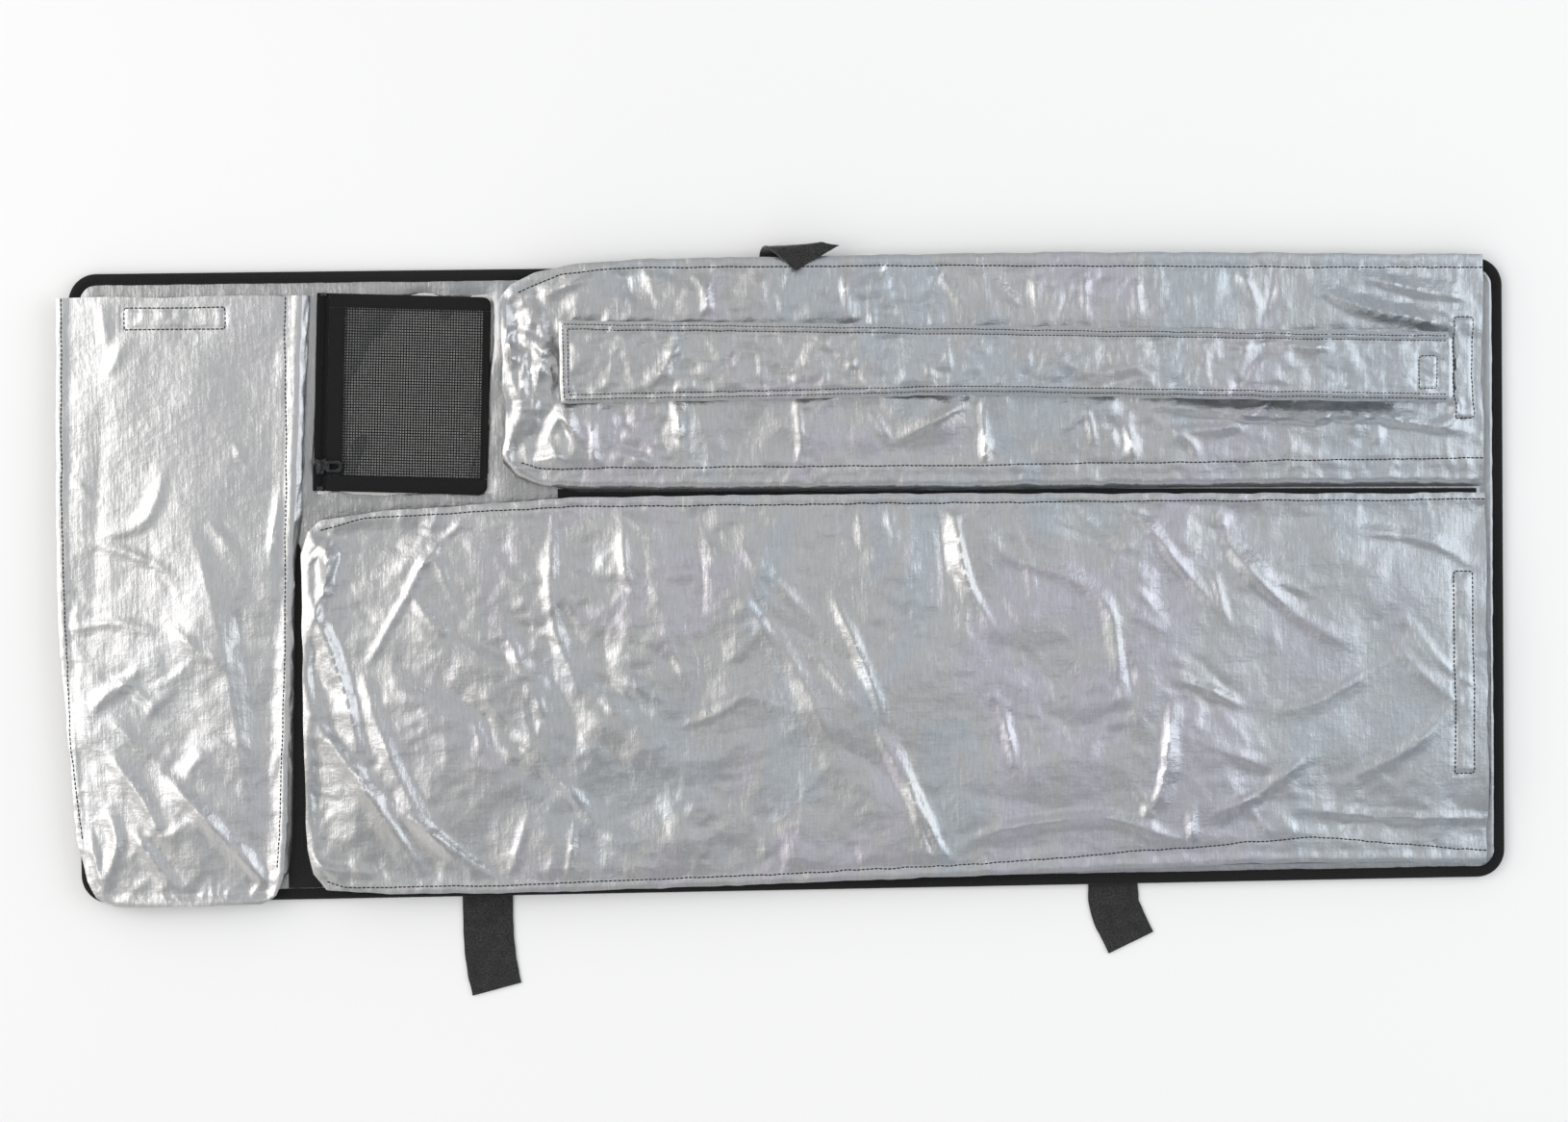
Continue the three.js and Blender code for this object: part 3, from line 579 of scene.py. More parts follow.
def lining_height(x, y):
    """The lining's face: flat under the pockets, softly gathered where it shows."""
    inset = inset_of(x, y)
    z = np.interp(inset, [1.2, 5, 9.4, 13], [6.0, 6.3, 6.9, LINING_TOP])
    roll = (np.exp(-((inset - 12.6) / 2.6) ** 2) - 0.9 * np.exp(-((inset - 17.5) / 1.9) ** 2)
            ) * step_up(x, 560, 574)
    rim = puckers(x, HALF[1] - y - 9, 5, (9, 26), (0.3, 0.9), (6, 20))
    rim += puckers(y, HALF[0] - np.abs(x) - 9, 6, (9, 26), (0.3, 0.8), (6, 16))
    show = step_up(y, 60, 75) * step_up(-x, 225, 245)
    field = 0.5 * facets(x, y, 30, 11, 0.4) + 0.5 * noise(x, y, 22, 12) + 0.6 * (
        noise(x, y * 0.3, 9, 13))
    pocket = step_up(np.maximum(np.abs(x + 322) - 72, np.abs(y - 158) - 82), -3, 6)
    inside = step_up(inset, 9, 14)
    hidden = -0.35 * (1 - show) * inside
    wave = rim * 0.8 + show * field * np.where(pocket > 0.5, 0.8, 0.3)
    wave += show * (1 - pocket) * (2.6 * noise(x - 0.45 * y, y * 0.35, 22, 14) - 2.6)
    around = step_up(np.maximum(np.abs(x + 322) - 76, np.abs(y - 158) - 86), 0, 8)
    wave = np.minimum(wave, 0.7 + 3.0 * around)
    return z + 1.7 * roll + inside * wave + hidden


def make_base():
    x, y = panel_grid(5, 1.2)
    inset = inset_of(x, y)
    low = np.interp(inset, [1.2, 9.4, 12, 20, 30], [3.2, 3.0, 2.6, 0.6, 0.02])
    sag = step_up(inset, 24, 60) * (0.45 + 0.3 * noise(x, y, 60, 2) + 0.2 * facets(x, y, 80, 3))
    cover = shell("back_sheet", np.dstack([x, y, low + np.clip(sag, 0, 1.1)]), BACKING,
                  0.7, flip=True)
    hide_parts("back_cover")

    lining = shell("lining_sheet", np.dstack([x, y, lining_height(x, y)]), SHADED_LINING,
                   0.6)
    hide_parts("lining")

    x, y = panel_grid(20, 14)
    top = np.interp(inset_of(x, y), [14, 22], [5.0, 5.9]) + 0.1 * noise(x, y, 50, 4)
    foam = shell("foam_pad", np.dstack([x, y, top]), FOAM, 1.7, down=True)
    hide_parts("foam_core")

    points, outward = outline(4)
    n = len(points)
    profile = np.array([
        (9.4, 7.75), (8.1, 7.8), (7.4, 7.55), (6.6, 7.95), (4.0, 7.95), (1.8, 7.6), (0.5, 6.8),
        (0.0, 5.6), (0.0, 3.9), (0.4, 2.7), (1.6, 2.1), (4.5, 1.95), (9.4, 1.9), (9.4, 2.75),
        (3.0, 2.9), (1.0, 3.6), (1.0, 6.0), (3.0, 6.9), (9.4, 6.95)])
    run = run_lengths(np.vstack([points, points[:1]]))[:-1]
    ripple = 0.35 * noise(run, run * 0, 14, 21) + 0.25 * noise(run, run * 0, 6, 22)
    top_only = np.clip((profile[:, 1] - 4) / 4, 0, 1)
    inset = profile[:, 0][None] + (ripple * 0.8)[:, None] * (profile[:, 0] > 6)[None]
    inset = np.clip(inset, 0, None)
    ring = points[:, None] - outward[:, None] * inset[..., None]
    z = profile[:, 1][None] + ripple[:, None] * top_only[None] * 0.5
    at = np.arange(n * len(profile)).reshape(n, -1)
    nxt = np.roll(at, -1, 0)
    faces = np.stack([at, nxt, np.roll(nxt, -1, 1), np.roll(at, -1, 1)], -1).reshape(-1, 4)
    uv = np.stack(np.meshgrid(run, run_lengths(profile), indexing="ij"), -1).reshape(-1, 2)
    tape = build("binding", np.dstack([ring, z]).reshape(-1, 3), faces, BINDING,
                 uv, 50)
    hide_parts("edge_binding")

    inner = points - outward * 7.4
    inner = np.vstack([inner, inner[:1]])
    up = np.zeros((len(inner), 3)) + [0, 0, 1]
    line = np.hstack([inner, np.full((len(inner), 1), 7.75), up])
    stitch = thread("binding_thread", [line], BLACK_THREAD, pitch=3.6, radius=0.3)

    x = np.linspace(-196, 572, 330)
    t = np.linspace(0, 1, 7)
    x, t = np.meshgrid(x, t, indexing="ij")
    z = 8.8 + 0.25 * noise(x, t * 10, 12, 31) - 0.25 * (2 * t - 1) ** 4
    grid = np.dstack([x, seam_y(x) - 5 + 7.5 * t, z])
    gutter = shell("gutter_rib_tape", grid, GUTTER, 0.8)
    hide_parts("gutter_tape")
    # Painted shade: a dark ribbed strip down the gutter between the pouch and the lower sleeve,
    # replacing no part, standing in for the shadow there.
    y = np.linspace(-250, 52, 122)
    t = np.linspace(0, 1, 9)
    y, t = np.meshgrid(y, t, indexing="ij")
    left = np.interp(y, [-243, 52], [-424, -420])
    right = np.interp(y, [-250, -200, 12, 52], [-396, -402, -402, -416])
    z = 9.4 - 0.5 * (2 * t - 1) ** 2 + 0.3 * noise(y, t * 10, 14, 32)
    grid = np.dstack([left + (right - left) * t, y, z])
    shade_strip = shell("slot_shade_strip", grid, GUTTER, 0.8, flip=True)
    y = np.linspace(-238, 20, 129)
    up = np.zeros((len(y), 3)) + [0, 0, 1]
    middle = np.interp(y, [-238, 20], [-411.5, -413])
    line = np.hstack([np.stack([middle, y, y * 0 + 9.45], -1), up])
    slot_stitch = thread("slot_thread", [line], THREAD, pitch=3.4, radius=0.35)
    for piece in (cover, lining, foam, tape, stitch, gutter, shade_strip, slot_stitch):
        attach(piece, "panel")


# === Fronts of the pouch and the sleeves ===


class Front:
    """A front sheet: its two long edges by distance along it, and its height."""

    def __init__(self, name, edges, heights, crown, step, turned=False, lift=None):
        self.name, self.crown, self.step, self.turned, self.lift = name, crown, step, turned, lift
        self.table = np.array(edges, float)
        self.heights = heights
        self.closed, self.mouth = self.table[0, 0], self.table[-1, 0]
        self.coarse, self.cap, self.ragged = 2.2, (-1.0, 3.5), 0.8

    def held(self, a, c):
        """Where the sheet is sewn down."""
        low, high = self.edges(a)
        return np.minimum(np.minimum(c - low, high - c), a - self.closed) < 7

    def edges(self, a):
        return [np.interp(a, self.table[:, 0], self.table[:, k]) for k in (1, 2)]

    def height(self, a, c):
        low, high = self.edges(a)
        across = np.clip((c - low) / (high - low), 0, 1)
        z = np.interp(a, [self.closed, self.mouth], self.heights)
        if self.lift is not None:
            under = self.lift
            z = np.interp(a, [under.closed, under.mouth], under.heights) + under.crown + 8.5
        return z + self.crown * 4 * across * (1 - across)

    def place(self, a, c, z):
        return np.stack([c, a, z] if self.turned else [a, c, z], -1)

    def grid(self):
        low, high = self.edges(self.table[:, 0])
        n = int((self.mouth - self.closed) / self.step) + 1
        m = int((high - low).max() / self.step) + 1
        a, t = np.meshgrid(np.linspace(self.closed, self.mouth, n), np.linspace(0, 1, m),
                           indexing="ij")
        low, high = self.edges(a)
        return a, low + (high - low) * t

    def relieve(self, relief):
        """Makes the sheet's face from its height and the relief on it."""
        self.a, self.c = self.grid()
        self.z = self.height(self.a, self.c) + relief(self.a, self.c)
        low, high = self.edges(self.a)
        end = np.exp(-(self.a - self.closed) / 22)
        sides = np.exp(-(high - self.c) / 14) - np.exp(-(self.c - low) / 14)
        ripple = noise(self.a, self.a * 0, 26, 91) + 0.5 * noise(self.a, self.a * 0, 9, 92)
        along = self.a + self.ragged * end * (noise(self.c, self.c * 0, 20, 93) + 0.5)
        across = self.c + 0.7 * sides * ripple * (1 - end)
        self.face = self.place(along, across, self.z)
        self.normal = grid_normals(self.face) * (-1 if self.turned else 1)

    def at(self, a, c):
        """Six columns, the face's point and normal, at distances a along and c across."""
        a, c = np.asarray(a, float), np.asarray(c, float)
        n, m = self.a.shape
        low, high = self.edges(a)
        i = np.clip((a - self.closed) / (self.mouth - self.closed) * (n - 1), 0, n - 1.001)
        j = np.clip((c - low) / (high - low) * (m - 1), 0, m - 1.001)
        both = np.concatenate([self.face, self.normal], -1)
        i0, j0 = i.astype(int), j.astype(int)
        s, t = (i - i0)[..., None], (j - j0)[..., None]
        return ((both[i0, j0] * (1 - s) + both[i0 + 1, j0] * s) * (1 - t)
                + (both[i0, j0 + 1] * (1 - s) + both[i0 + 1, j0 + 1] * s) * t)

    def seam(self, points, wander=0.35, seed=0):
        """A stitch line on the face, through points of (along, across)."""
        line = resample(np.array(points, float), 2.0)
        drift = wander * noise(line[:, 0], line[:, 1], 30, 77 + seed)
        c = line[:, 1] + np.where(np.ptp(line[:, 0]) > 8, drift, 0)
        a = line[:, 0] + np.where(np.ptp(line[:, 0]) > 8, 0, drift)
        return self.at(a, c)

    def box_seam(self, a0, a1, c0, c1):
        return self.seam([(a0, c0), (a1, c0), (a1, c1), (a0, c1), (a0, c0)], 0.0)


def cubic_rows(table, marks):
    """Rows of a table at fractional row numbers, on a smooth curve through them."""
    last = len(table) - 1
    i = np.clip(np.floor(marks).astype(int), 0, last - 1)
    shape = (-1,) + (1,) * (table.ndim - 1)
    t = (marks - i).reshape(shape)
    p = [table[np.clip(i + k, 0, last)] for k in (-1, 0, 1, 2)]
    return p[1] + 0.5 * t * (p[2] - p[0] + t * (2 * p[0] - 5 * p[1] + 4 * p[2] - p[3]
                             + t * (3 * (p[1] - p[2]) + p[3] - p[0])))


def settle(fronts, frames=24, slack=0.02, skin=0.0006, most=4, bed_top=9.2):
    """Settles the fronts, held at their seams: slack cloth buckles and sags to a bed.

    The simulation runs on a coarser grid, moves no point further than most along the panel or
    the front's own cap in height, and is then spread over the whole face.
    """
    runs = []
    for front in fronts:
        n, m = front.a.shape
        marks = [np.linspace(0, size - 1, int(size / front.coarse)) for size in (n, m)]
        rows_ = marks[0].round().astype(int)
        cols = marks[1].round().astype(int)
        start = front.face[np.ix_(rows_, cols)]
        points = row(start).reshape(-1, 3)
        count = (len(rows_), len(cols))
        at = np.arange(len(points)).reshape(count)
        faces = np.stack([at[:-1, :-1], at[1:, :-1], at[1:, 1:], at[:-1, 1:]], -1).reshape(-1, 4)
        mesh = bpy.data.meshes.new("settling")
        mesh.from_pydata(points.tolist(), [], faces.tolist())
        cloth = bpy.data.objects.new("settling", mesh)
        bpy.context.scene.collection.objects.link(cloth)
        pins = cloth.vertex_groups.new(name="sewn")
        held = front.held(front.a, front.c)[np.ix_(rows_, cols)].ravel()
        pins.add([int(v) for v in np.flatnonzero(held)], 1.0, "REPLACE")
        modifier = cloth.modifiers.new("cloth", "CLOTH")
        facts = modifier.settings
        facts.quality, facts.mass, facts.air_damping = 6, 0.12, 4.0
        facts.tension_stiffness = facts.compression_stiffness = 30
        facts.shear_stiffness, facts.bending_stiffness = 12, 0.06
        facts.bending_damping = 1.0
        facts.shrink_min = -slack
        facts.vertex_group_mass = "sewn"
        modifier.collision_settings.distance_min = skin
        modifier.point_cache.frame_end = frames
        runs.append((front, cloth, start, rows_, cols))
    mesh = bpy.data.meshes.new("bed")
    low, high = row((-640, -300, bed_top)), row((640, 300, bed_top))
    z = float(low[2])
    mesh.from_pydata([(low[0], low[1], z), (high[0], low[1], z), (high[0], high[1], z),
                      (low[0], high[1], z)], [], [(0, 1, 2, 3)])
    bed = bpy.data.objects.new("bed", mesh)
    bpy.context.scene.collection.objects.link(bed)
    bed.modifiers.new("collision", "COLLISION")
    bed.collision.thickness_outer = skin
    scene = bpy.context.scene
    for number in range(1, frames + 1):
        scene.frame_set(number)
    graph = bpy.context.evaluated_depsgraph_get()
    for front, cloth, start, rows_, cols in runs:
        shape = cloth.evaluated_get(graph).data
        moved = np.zeros(len(shape.vertices) * 3, np.float32)
        shape.vertices.foreach_get("co", moved)
        moved = moved.reshape(start.shape).astype(float) * 1000 - CENTRE
        shift = np.clip(moved - start, [-most, -most, front.cap[0]], [most, most, front.cap[1]])
        n, m = front.a.shape
        shift = cubic_rows(shift, np.interp(np.arange(n), rows_, np.arange(len(rows_))))
        shift = np.swapaxes(shift, 0, 1)
        shift = cubic_rows(shift, np.interp(np.arange(m), cols, np.arange(len(cols))))
        front.face = front.face + np.swapaxes(shift, 0, 1)
        front.normal = grid_normals(front.face) * (-1 if front.turned else 1)
    for thing in [bed] + [run[1] for run in runs]:
        bpy.data.objects.remove(thing)
    scene.frame_set(1)


def groove(distance, depth=0.35, width=1.0):
    return -depth * np.exp(-(distance / width) ** 2)


def line_distance(a, c, points):
    """Signed distance across, c less the line's own place, for a line along the sleeve."""
    p = np.array(points, float)
    return c - np.interp(a, p[:, 0], p[:, 1])


def box_distance(a, c, a0, a1, c0, c1):
    """Distance outwards from a rectangle's edge, negative inside it."""
    return np.maximum(np.abs(a - (a0 + a1) / 2) - (a1 - a0) / 2,
                      np.abs(c - (c0 + c1) / 2) - (c1 - c0) / 2)


def patch(a, c, a0, a1, c0, c1, rise=0.7):
    """The mark that a tape sewn behind the sheet leaves on its face."""
    d = box_distance(a, c, a0, a1, c0, c1)
    return rise * step_up(-d, -1.5, 2.0) + groove(d, 0.9, 1.2) + 0.5 * step_up(-d, 0, 3) * facets(
        a, c, 7, 301)


def rolled(distance, drop=0.4, width=0.8):
    return -drop * np.exp(-np.clip(distance, 0, None) / width)


LOWER = Front("lower", [
    [-407, -216, 28], [-402, -236, 45], [-391, -250, 55], [-339, -254, 62], [-260, -255.5, 66.5],
    [-180, -255, 71], [60, -250.5, 70.2], [185, -248, 68.8], [380, -243, 66], [577, -246, 63.5],
], (26, 17), 5, 2.6)
UPPER = Front("upper", [
    [-240, 100, 236], [-230, 88, 247], [-212, 81, 256], [-177, 78, 263], [-130, 77, 266],
    [222, 73.5, 268], [400, 72.5, 265.5], [576, 71, 262],
], (23, 17), 4, 2.4)
NARROW = Front("narrow", [[-192, 149, 216], [-186, 148, 216], [141, 151, 208], [544, 139, 197.5]],
               (0, 0), 1.5, 2.0, lift=UPPER)
POUCH = Front("pouch", [
    [-262, -566, -446], [-256, -580, -434], [-240, -588, -427], [-205, -596, -424],
    [-29, -607, -417], [43, -607, -413.5], [104, -606, -409.5], [240, -603, -402.5],
], (19, 16), 3, 2.4, turned=True)

LOWER_HIGH = [(-391, 47), (-355, 56), (-260, 60.5), (-180, 63), (-20, 62), (261, 61), (577, 58)]
LOWER_LOW = [(-391, -243), (-376, -248), (-244, -249), (-24, -244), (186, -237), (288, -230),
             (430, -221), (577, -236)]
UPPER_HIGH = [(-225, 240), (-190, 254), (-146, 259), (142, 258), (545, 251), (576, 251)]
UPPER_LOW = [(-225, 100), (-211, 95), (140, 93), (576, 93)]
POUCH_LEFT = [(-205, -591), (-133, -599), (11, -602), (91, -602), (240, -599)]
POUCH_RIGHT = [(-232, -432), (-205, -430), (-64, -423), (88, -419), (240, -417)]

# Folds read from the sheet: height, width to the left and to the right, and the line.
LOWER_FOLDS = [
    (2.2, 5, 5, [(-267, 61), (-303, 19), (-317, -6), (-353, -69)]),
    (2.4, 6, 6, [(-317, -6), (-298, -31), (-282, -44)]),
    (6.0, 9, 17, [(-400, -12), (-375, -65), (-356, -141)]),
    (4.5, 10, 10, [(-392, 42), (-384, 24), (-388, 0)]),
    (3.2, 8, 8, [(-383, 41), (-388, -1), (-399, -30)]),
    (5.2, 9, 15, [(-400, -104), (-352, -169), (-307, -245)]),
    (4.0, 7, 12, [(-341, -173), (-299, -206), (-247, -246)]),
    (2.6, 22, 10, [(-290, -67), (-223, -129), (-143, -227)]),
    (2.0, 6, 6, [(-216, -90), (-206, -115)]),
    (2.6, 10, 7, [(-198, 63), (-202, -22), (-177, -97)]),
    (2.2, 9, 6, [(-143, 59), (-140, 2), (-119, -20)]),
    (2.6, 10, 16, [(-112, 12), (-66, -3), (-13, -54), (36, -151)]),
    (1.8, 7, 7, [(-51, 32), (23, -44)]),
    (3.4, 9, 6, [(30, -15), (51, -62), (72, -116)]),
    (3.2, 8, 6, [(65, -123), (103, -203)]),
    (1.6, 6, 6, [(77, 59), (84, 27)]),
    (-2.4, 16, 16, [(-162, -37), (-152, -84), (-110, -116)]),
    (2.2, 9, 6, [(-245, -135), (-196, -165), (-175, -190)]),
    (3.6, 10, 12, [(-357, -69), (-333, -141), (-306, -199), (-275, -235)]),
    (2.2, 5, 6, [(-239, -236), (-224, -189)]),
    (2.0, 5, 6, [(-193, -247), (-185, -197)]),
    (2.8, 8, 6, [(74, -126), (119, -227)]),
    (3.6, 7, 12, [(129, 59), (143, -5), (168, -49)]),
    (2.4, 10, 10, [(158, 34), (179, 15), (229, -3), (261, -32), (268, -93), (278, -115)]),
    (3.0, 9, 7, [(251, 64), (290, 42), (322, 2), (358, -38)]),
    (3.2, 12, 8, [(355, 63), (362, 23), (408, -28), (462, -64)]),
    (2.4, 10, 6, [(463, 33), (524, 24), (571, 0)]),
    (3.8, 14, 5, [(311, -105), (303, -173), (285, -202)]),
    (3.4, 8, 10, [(137, -220), (180, -207), (252, -201), (295, -213), (328, -228)]),
    (3.2, 6, 6, [(328, -195), (328, -242)]),
    (2.8, 10, 8, [(429, -150), (386, -182), (342, -203)]),
    (2.2, 14, 8, [(498, -72), (433, -107), (390, -117)]),
    (3.0, 12, 7, [(545, -113), (512, -145), (454, -176)]),
    (2.6, 8, 6, [(418, -197), (498, -206), (577, -207)]),
    (2.2, 6, 8, [(171, -106), (181, -160)]),
    (2.2, 6, 6, [(283, -11), (307, -39)]),
    (2.2, 6, 6, [(347, 2), (358, -38)]),
    (2.8, 7, 9, [(307, -83), (347, -98), (375, -110)]),
]
UPPER_FOLDS = [
    (3.4, 7, 8, [(-238, 225), (-230, 158), (-237, 100)]),
    (3.0, 7, 6, [(-216, 231), (-224, 158), (-228, 120)]),
    (2.6, 6, 6, [(-166, 132), (-164, 92)]),
    (3.2, 9, 7, [(-227, 104), (-205, 120), (-192, 136), (-170, 113)]),
    (2.2, 7, 6, [(-76, 252), (-69, 230), (-76, 220)]),
    (1.8, 6, 5, [(-120, 256), (-111, 230)]),
    (1.8, 6, 5, [(42, 250), (45, 222)]),
    (2.0, 6, 6, [(3, 149), (6, 110), (2, 92)]),
    (2.4, 6, 7, [(-99, 150), (-93, 112), (-94, 92)]),
    (2.2, 7, 6, [(157, 147), (159, 92)]),
    (2.4, 8, 6, [(83, 112), (150, 147)]),
    (1.8, 6, 6, [(64, 138), (83, 109)]),
    (3.2, 8, 8, [(-213, 231), (-204, 196), (-217, 139)]),
    (2.4, 9, 6, [(-195, 164), (-186, 142), (-180, 104)]),
    (2.6, 8, 6, [(-155, 262), (-200, 238)]),
    (1.8, 7, 6, [(123, 250), (142, 225)]),
    (1.8, 6, 6, [(167, 246), (190, 223)]),
    (2.8, 9, 7, [(-218, 103), (-167, 92)]),
    (2.6, 6, 10, [(352, 84), (372, 92), (388, 80)]),
    (2.6, 6, 10, [(404, 83), (420, 91), (436, 78)]),
    (2.2, 6, 10, [(444, 82), (456, 89), (476, 77)]),
    (2.6, 6, 8, [(375, 249), (388, 220)]),
    (5.4, 12, 6, [(436, 236), (472, 219), (546, 202)]),
    (4.0, 14, 7, [(470, 246), (520, 232), (560, 226)]),
    (2.2, 6, 6, [(242, 142), (250, 107)]),
    (2.2, 6, 6, [(280, 119), (283, 92)]),
    (2.4, 7, 6, [(316, 119), (332, 106), (335, 92)]),
    (2.4, 7, 7, [(313, 119), (361, 121), (387, 135)]),
    (6.0, 12, 6, [(300, 140), (345, 134), (387, 132), (426, 128), (465, 131), (523, 121),
                  (560, 115)]),
    (4.8, 6, 8, [(536, 214), (549, 202), (553, 170), (551, 130), (536, 118)]),
    (1.8, 6, 6, [(474, 96), (516, 93), (542, 96)]),
    (1.6, 6, 6, [(201, 248), (204, 216)]),
    (1.8, 6, 6, [(243, 254), (243, 214)]),
    (1.6, 6, 6, [(285, 251), (288, 215)]),
    (1.4, 6, 6, [(330, 237), (333, 218)]),
]
NARROW_FOLDS = [
    (2.6, 6, 10, [(-92, 200), (-105, 176), (-121, 157)]),
    (1.1, 6, 5, [(-131, 192), (-70, 208)]),
    (1.2, 6, 5, [(-28, 200), (-22, 162), (16, 168)]),
    (1.2, 6, 6, [(23, 196), (54, 174)]),
    (1.2, 5, 6, [(125, 200), (131, 157)]),
    (1.0, 6, 6, [(-48, 197), (-61, 178)]),
    (1.2, 7, 6, [(397, 190), (462, 184)]),
    (1.2, 8, 8, [(201, 191), (245, 168), (310, 177)]),
    (1.0, 6, 6, [(358, 190), (381, 186)]),
    (1.2, 6, 6, [(339, 192), (342, 157)]),
]
POUCH_FOLDS = [
    (3.4, 10, 9, [(-133, -568), (-170, -541), (-210, -522)]),
    (4.2, 12, 9, [(-150, -525), (-187, -490), (-240, -447)]),
    (2.4, 7, 8, [(-101, -583), (-77, -555), (-102, -524)]),
    (3.8, 9, 8, [(-245, -575), (-209, -562), (-181, -569)]),
    (1.8, 8, 8, [(43, -588), (26, -537), (10, -510)]),
    (1.2, 6, 6, [(90, -595), (78, -576)]),
    (2.4, 6, 6, [(84, -424), (24, -432)]),
    (1.4, 8, 8, [(235, -565), (201, -562)]),
    (1.4, 8, 8, [(205, -546), (177, -562)]),
    (1.2, 6, 6, [(120, -461), (104, -453)]),
    (3.4, 8, 8, [(-189, -592), (-245, -574)]),
    (3.6, 9, 9, [(-198, -549), (-246, -515)]),
    (2.8, 8, 8, [(-207, -466), (-248, -440)]),
    (-1.0, 12, 12, [(160, -566), (60, -573), (-30, -577)]),
    (2.0, 12, 8, [(105, -516), (58, -533), (42, -576)]),
    (1.6, 10, 8, [(57, -485), (25, -458)]),
    (1.8, 8, 8, [(-33, -598), (-26, -558), (-38, -527)]),
    (2.0, 10, 8, [(-30, -515), (-63, -480)]),
    (2.0, 8, 8, [(-62, -539), (-93, -567)]),
    (5.0, 42, 16, [(60, -500), (-60, -470), (-200, -455)]),
    (2.0, 6, 6, [(-132, -429), (-160, -434)]),
]


def lower_relief(a, c):
    low, high = LOWER.edges(a)
    top, bottom = -line_distance(a, c, LOWER_HIGH), line_distance(a, c, LOWER_LOW)
    end = a - LOWER.closed
    body = step_up(np.minimum(top, bottom), -2, 14) * step_up(end, 0, 10)
    z = rolled(np.minimum(np.minimum(c - low, high - c), end))
    z += groove(top) + groove(bottom)
    z += puckers(a, top, 41, start=2)
    z += puckers(a, bottom, 42, (7, 34), (0.25, 1.0), (6, 34), 2) * (1 - 0.8 * step_up(a, 270, 330))
    z += puckers(c, end, 43, (18, 44), (0.5, 1.5), (16, 60), 4) * step_up(end, 0, 22)
    left = step_up(-a, 230, 330)
    right = step_up(a, 120, 300)
    z += (1 - body) * step_up(end, 2, 14) * (0.45 * facets(a, c, 16, 52, 0.4)
                                             + 0.3 * facets(a, c, 8, 53, 0.9))
    slack = (1.5 + 0.8 * left) * noise(a, c, 75, 44) + 0.9 * noise(a, c, 34, 45)
    slack += (1.8 + 0.8 * left) * facets(a * 0.8 + c * 0.45, c - a * 0.25, 46, 46, 0.5)
    busy = np.clip(0.75 + 0.9 * noise(a, c, 90, 51), 0.1, 1.5)
    slack += busy * (0.8 * facets(a, c, 19, 47, 1.1) + 0.45 * facets(a, c, 9.5, 48, 0.2))
    slack += (1 - right) * 0.8 * facets(a, c, 26, 49, 0.9) * step_up(-np.abs(a + 120), -150, -60)
    z += body * (slack + creases(a, c, LOWER_FOLDS))
    z += body * random_creases(a, c, 90, 50, -52, 28)
    z += patch(a, c, *STRIPS["lower"])
    return z - 0.3 * body


def upper_relief(a, c):
    low, high = UPPER.edges(a)
    top, bottom = -line_distance(a, c, UPPER_HIGH), line_distance(a, c, UPPER_LOW)
    end = a - UPPER.closed
    body = step_up(np.minimum(top, bottom), -2, 10) * step_up(end, 0, 8)
    z = rolled(np.minimum(np.minimum(c - low, high - c), end))
    z += groove(top) + groove(bottom)
    below = step_up(-bottom, -4, 3)
    z -= 3.5 * np.exp(-np.clip(c - low, 0, None) / 3.5) * step_up(-c, -112, -98)
    z += below * (1.0 * facets(a, c * 0.7, 17, 73, 0.2) + 0.5 * facets(a, c, 8, 74, 0.9))
    z += puckers(a, top, 61, (7, 26), (0.3, 1.1), (6, 22), 2)
    z += puckers(a, bottom, 62, (7, 26), (0.3, 1.1), (6, 22), 2)
    z += puckers(c, end, 63, (10, 26), (0.3, 1.0), (10, 24), 3) * step_up(end, 0, 10)
    sewn_high = np.interp(a, [-192, 141, 544], [212, 204.5, 194])
    sewn_low = np.interp(a, [-192, 141, 544], [152, 155, 143])
    under = np.minimum(np.minimum(sewn_high - c, c - sewn_low), a + 190)
    outside = step_up(-under, -2, 6)
    z += outside * groove(under + 4, 0.9, 4.0)
    z += outside * puckers(a, c - sewn_high, 64, (7, 28), (0.3, 1.1), (4, 16), 2) * (c > sewn_high)
    z += outside * puckers(a, sewn_low - c, 65, (7, 28), (0.3, 1.2), (4, 18), 2) * (c < sewn_low)
    calm = 1 - 0.6 * step_up(a, 230, 330)
    slack = 1.0 * noise(a, c, 48, 66) + 1.7 * calm * facets(a, c, 30, 67, 0.3)
    busy = calm * np.clip(0.8 + 0.9 * noise(a, c, 70, 71), 0.1, 1.5)
    slack += busy * (1.15 * facets(a, c, 16, 68, 1.0) + 0.5 * facets(a, c, 8, 69, 0.2))
    slack += step_up(-a, 160, 212) * (3.6 * facets(a * 1.1, c * 0.5, 19, 72, 0.3)
                                      + 1.4 * facets(a, c, 13, 75, 0.8))
    slack += creases(a, c, UPPER_FOLDS) + random_creases(a, c, 60, 70, 75, 30, (16, 50))
    z += body * outside * slack - 2.2 * (1 - outside)
    z += patch(a, c, *STRIPS["upper"])
    return z - 0.3 * body


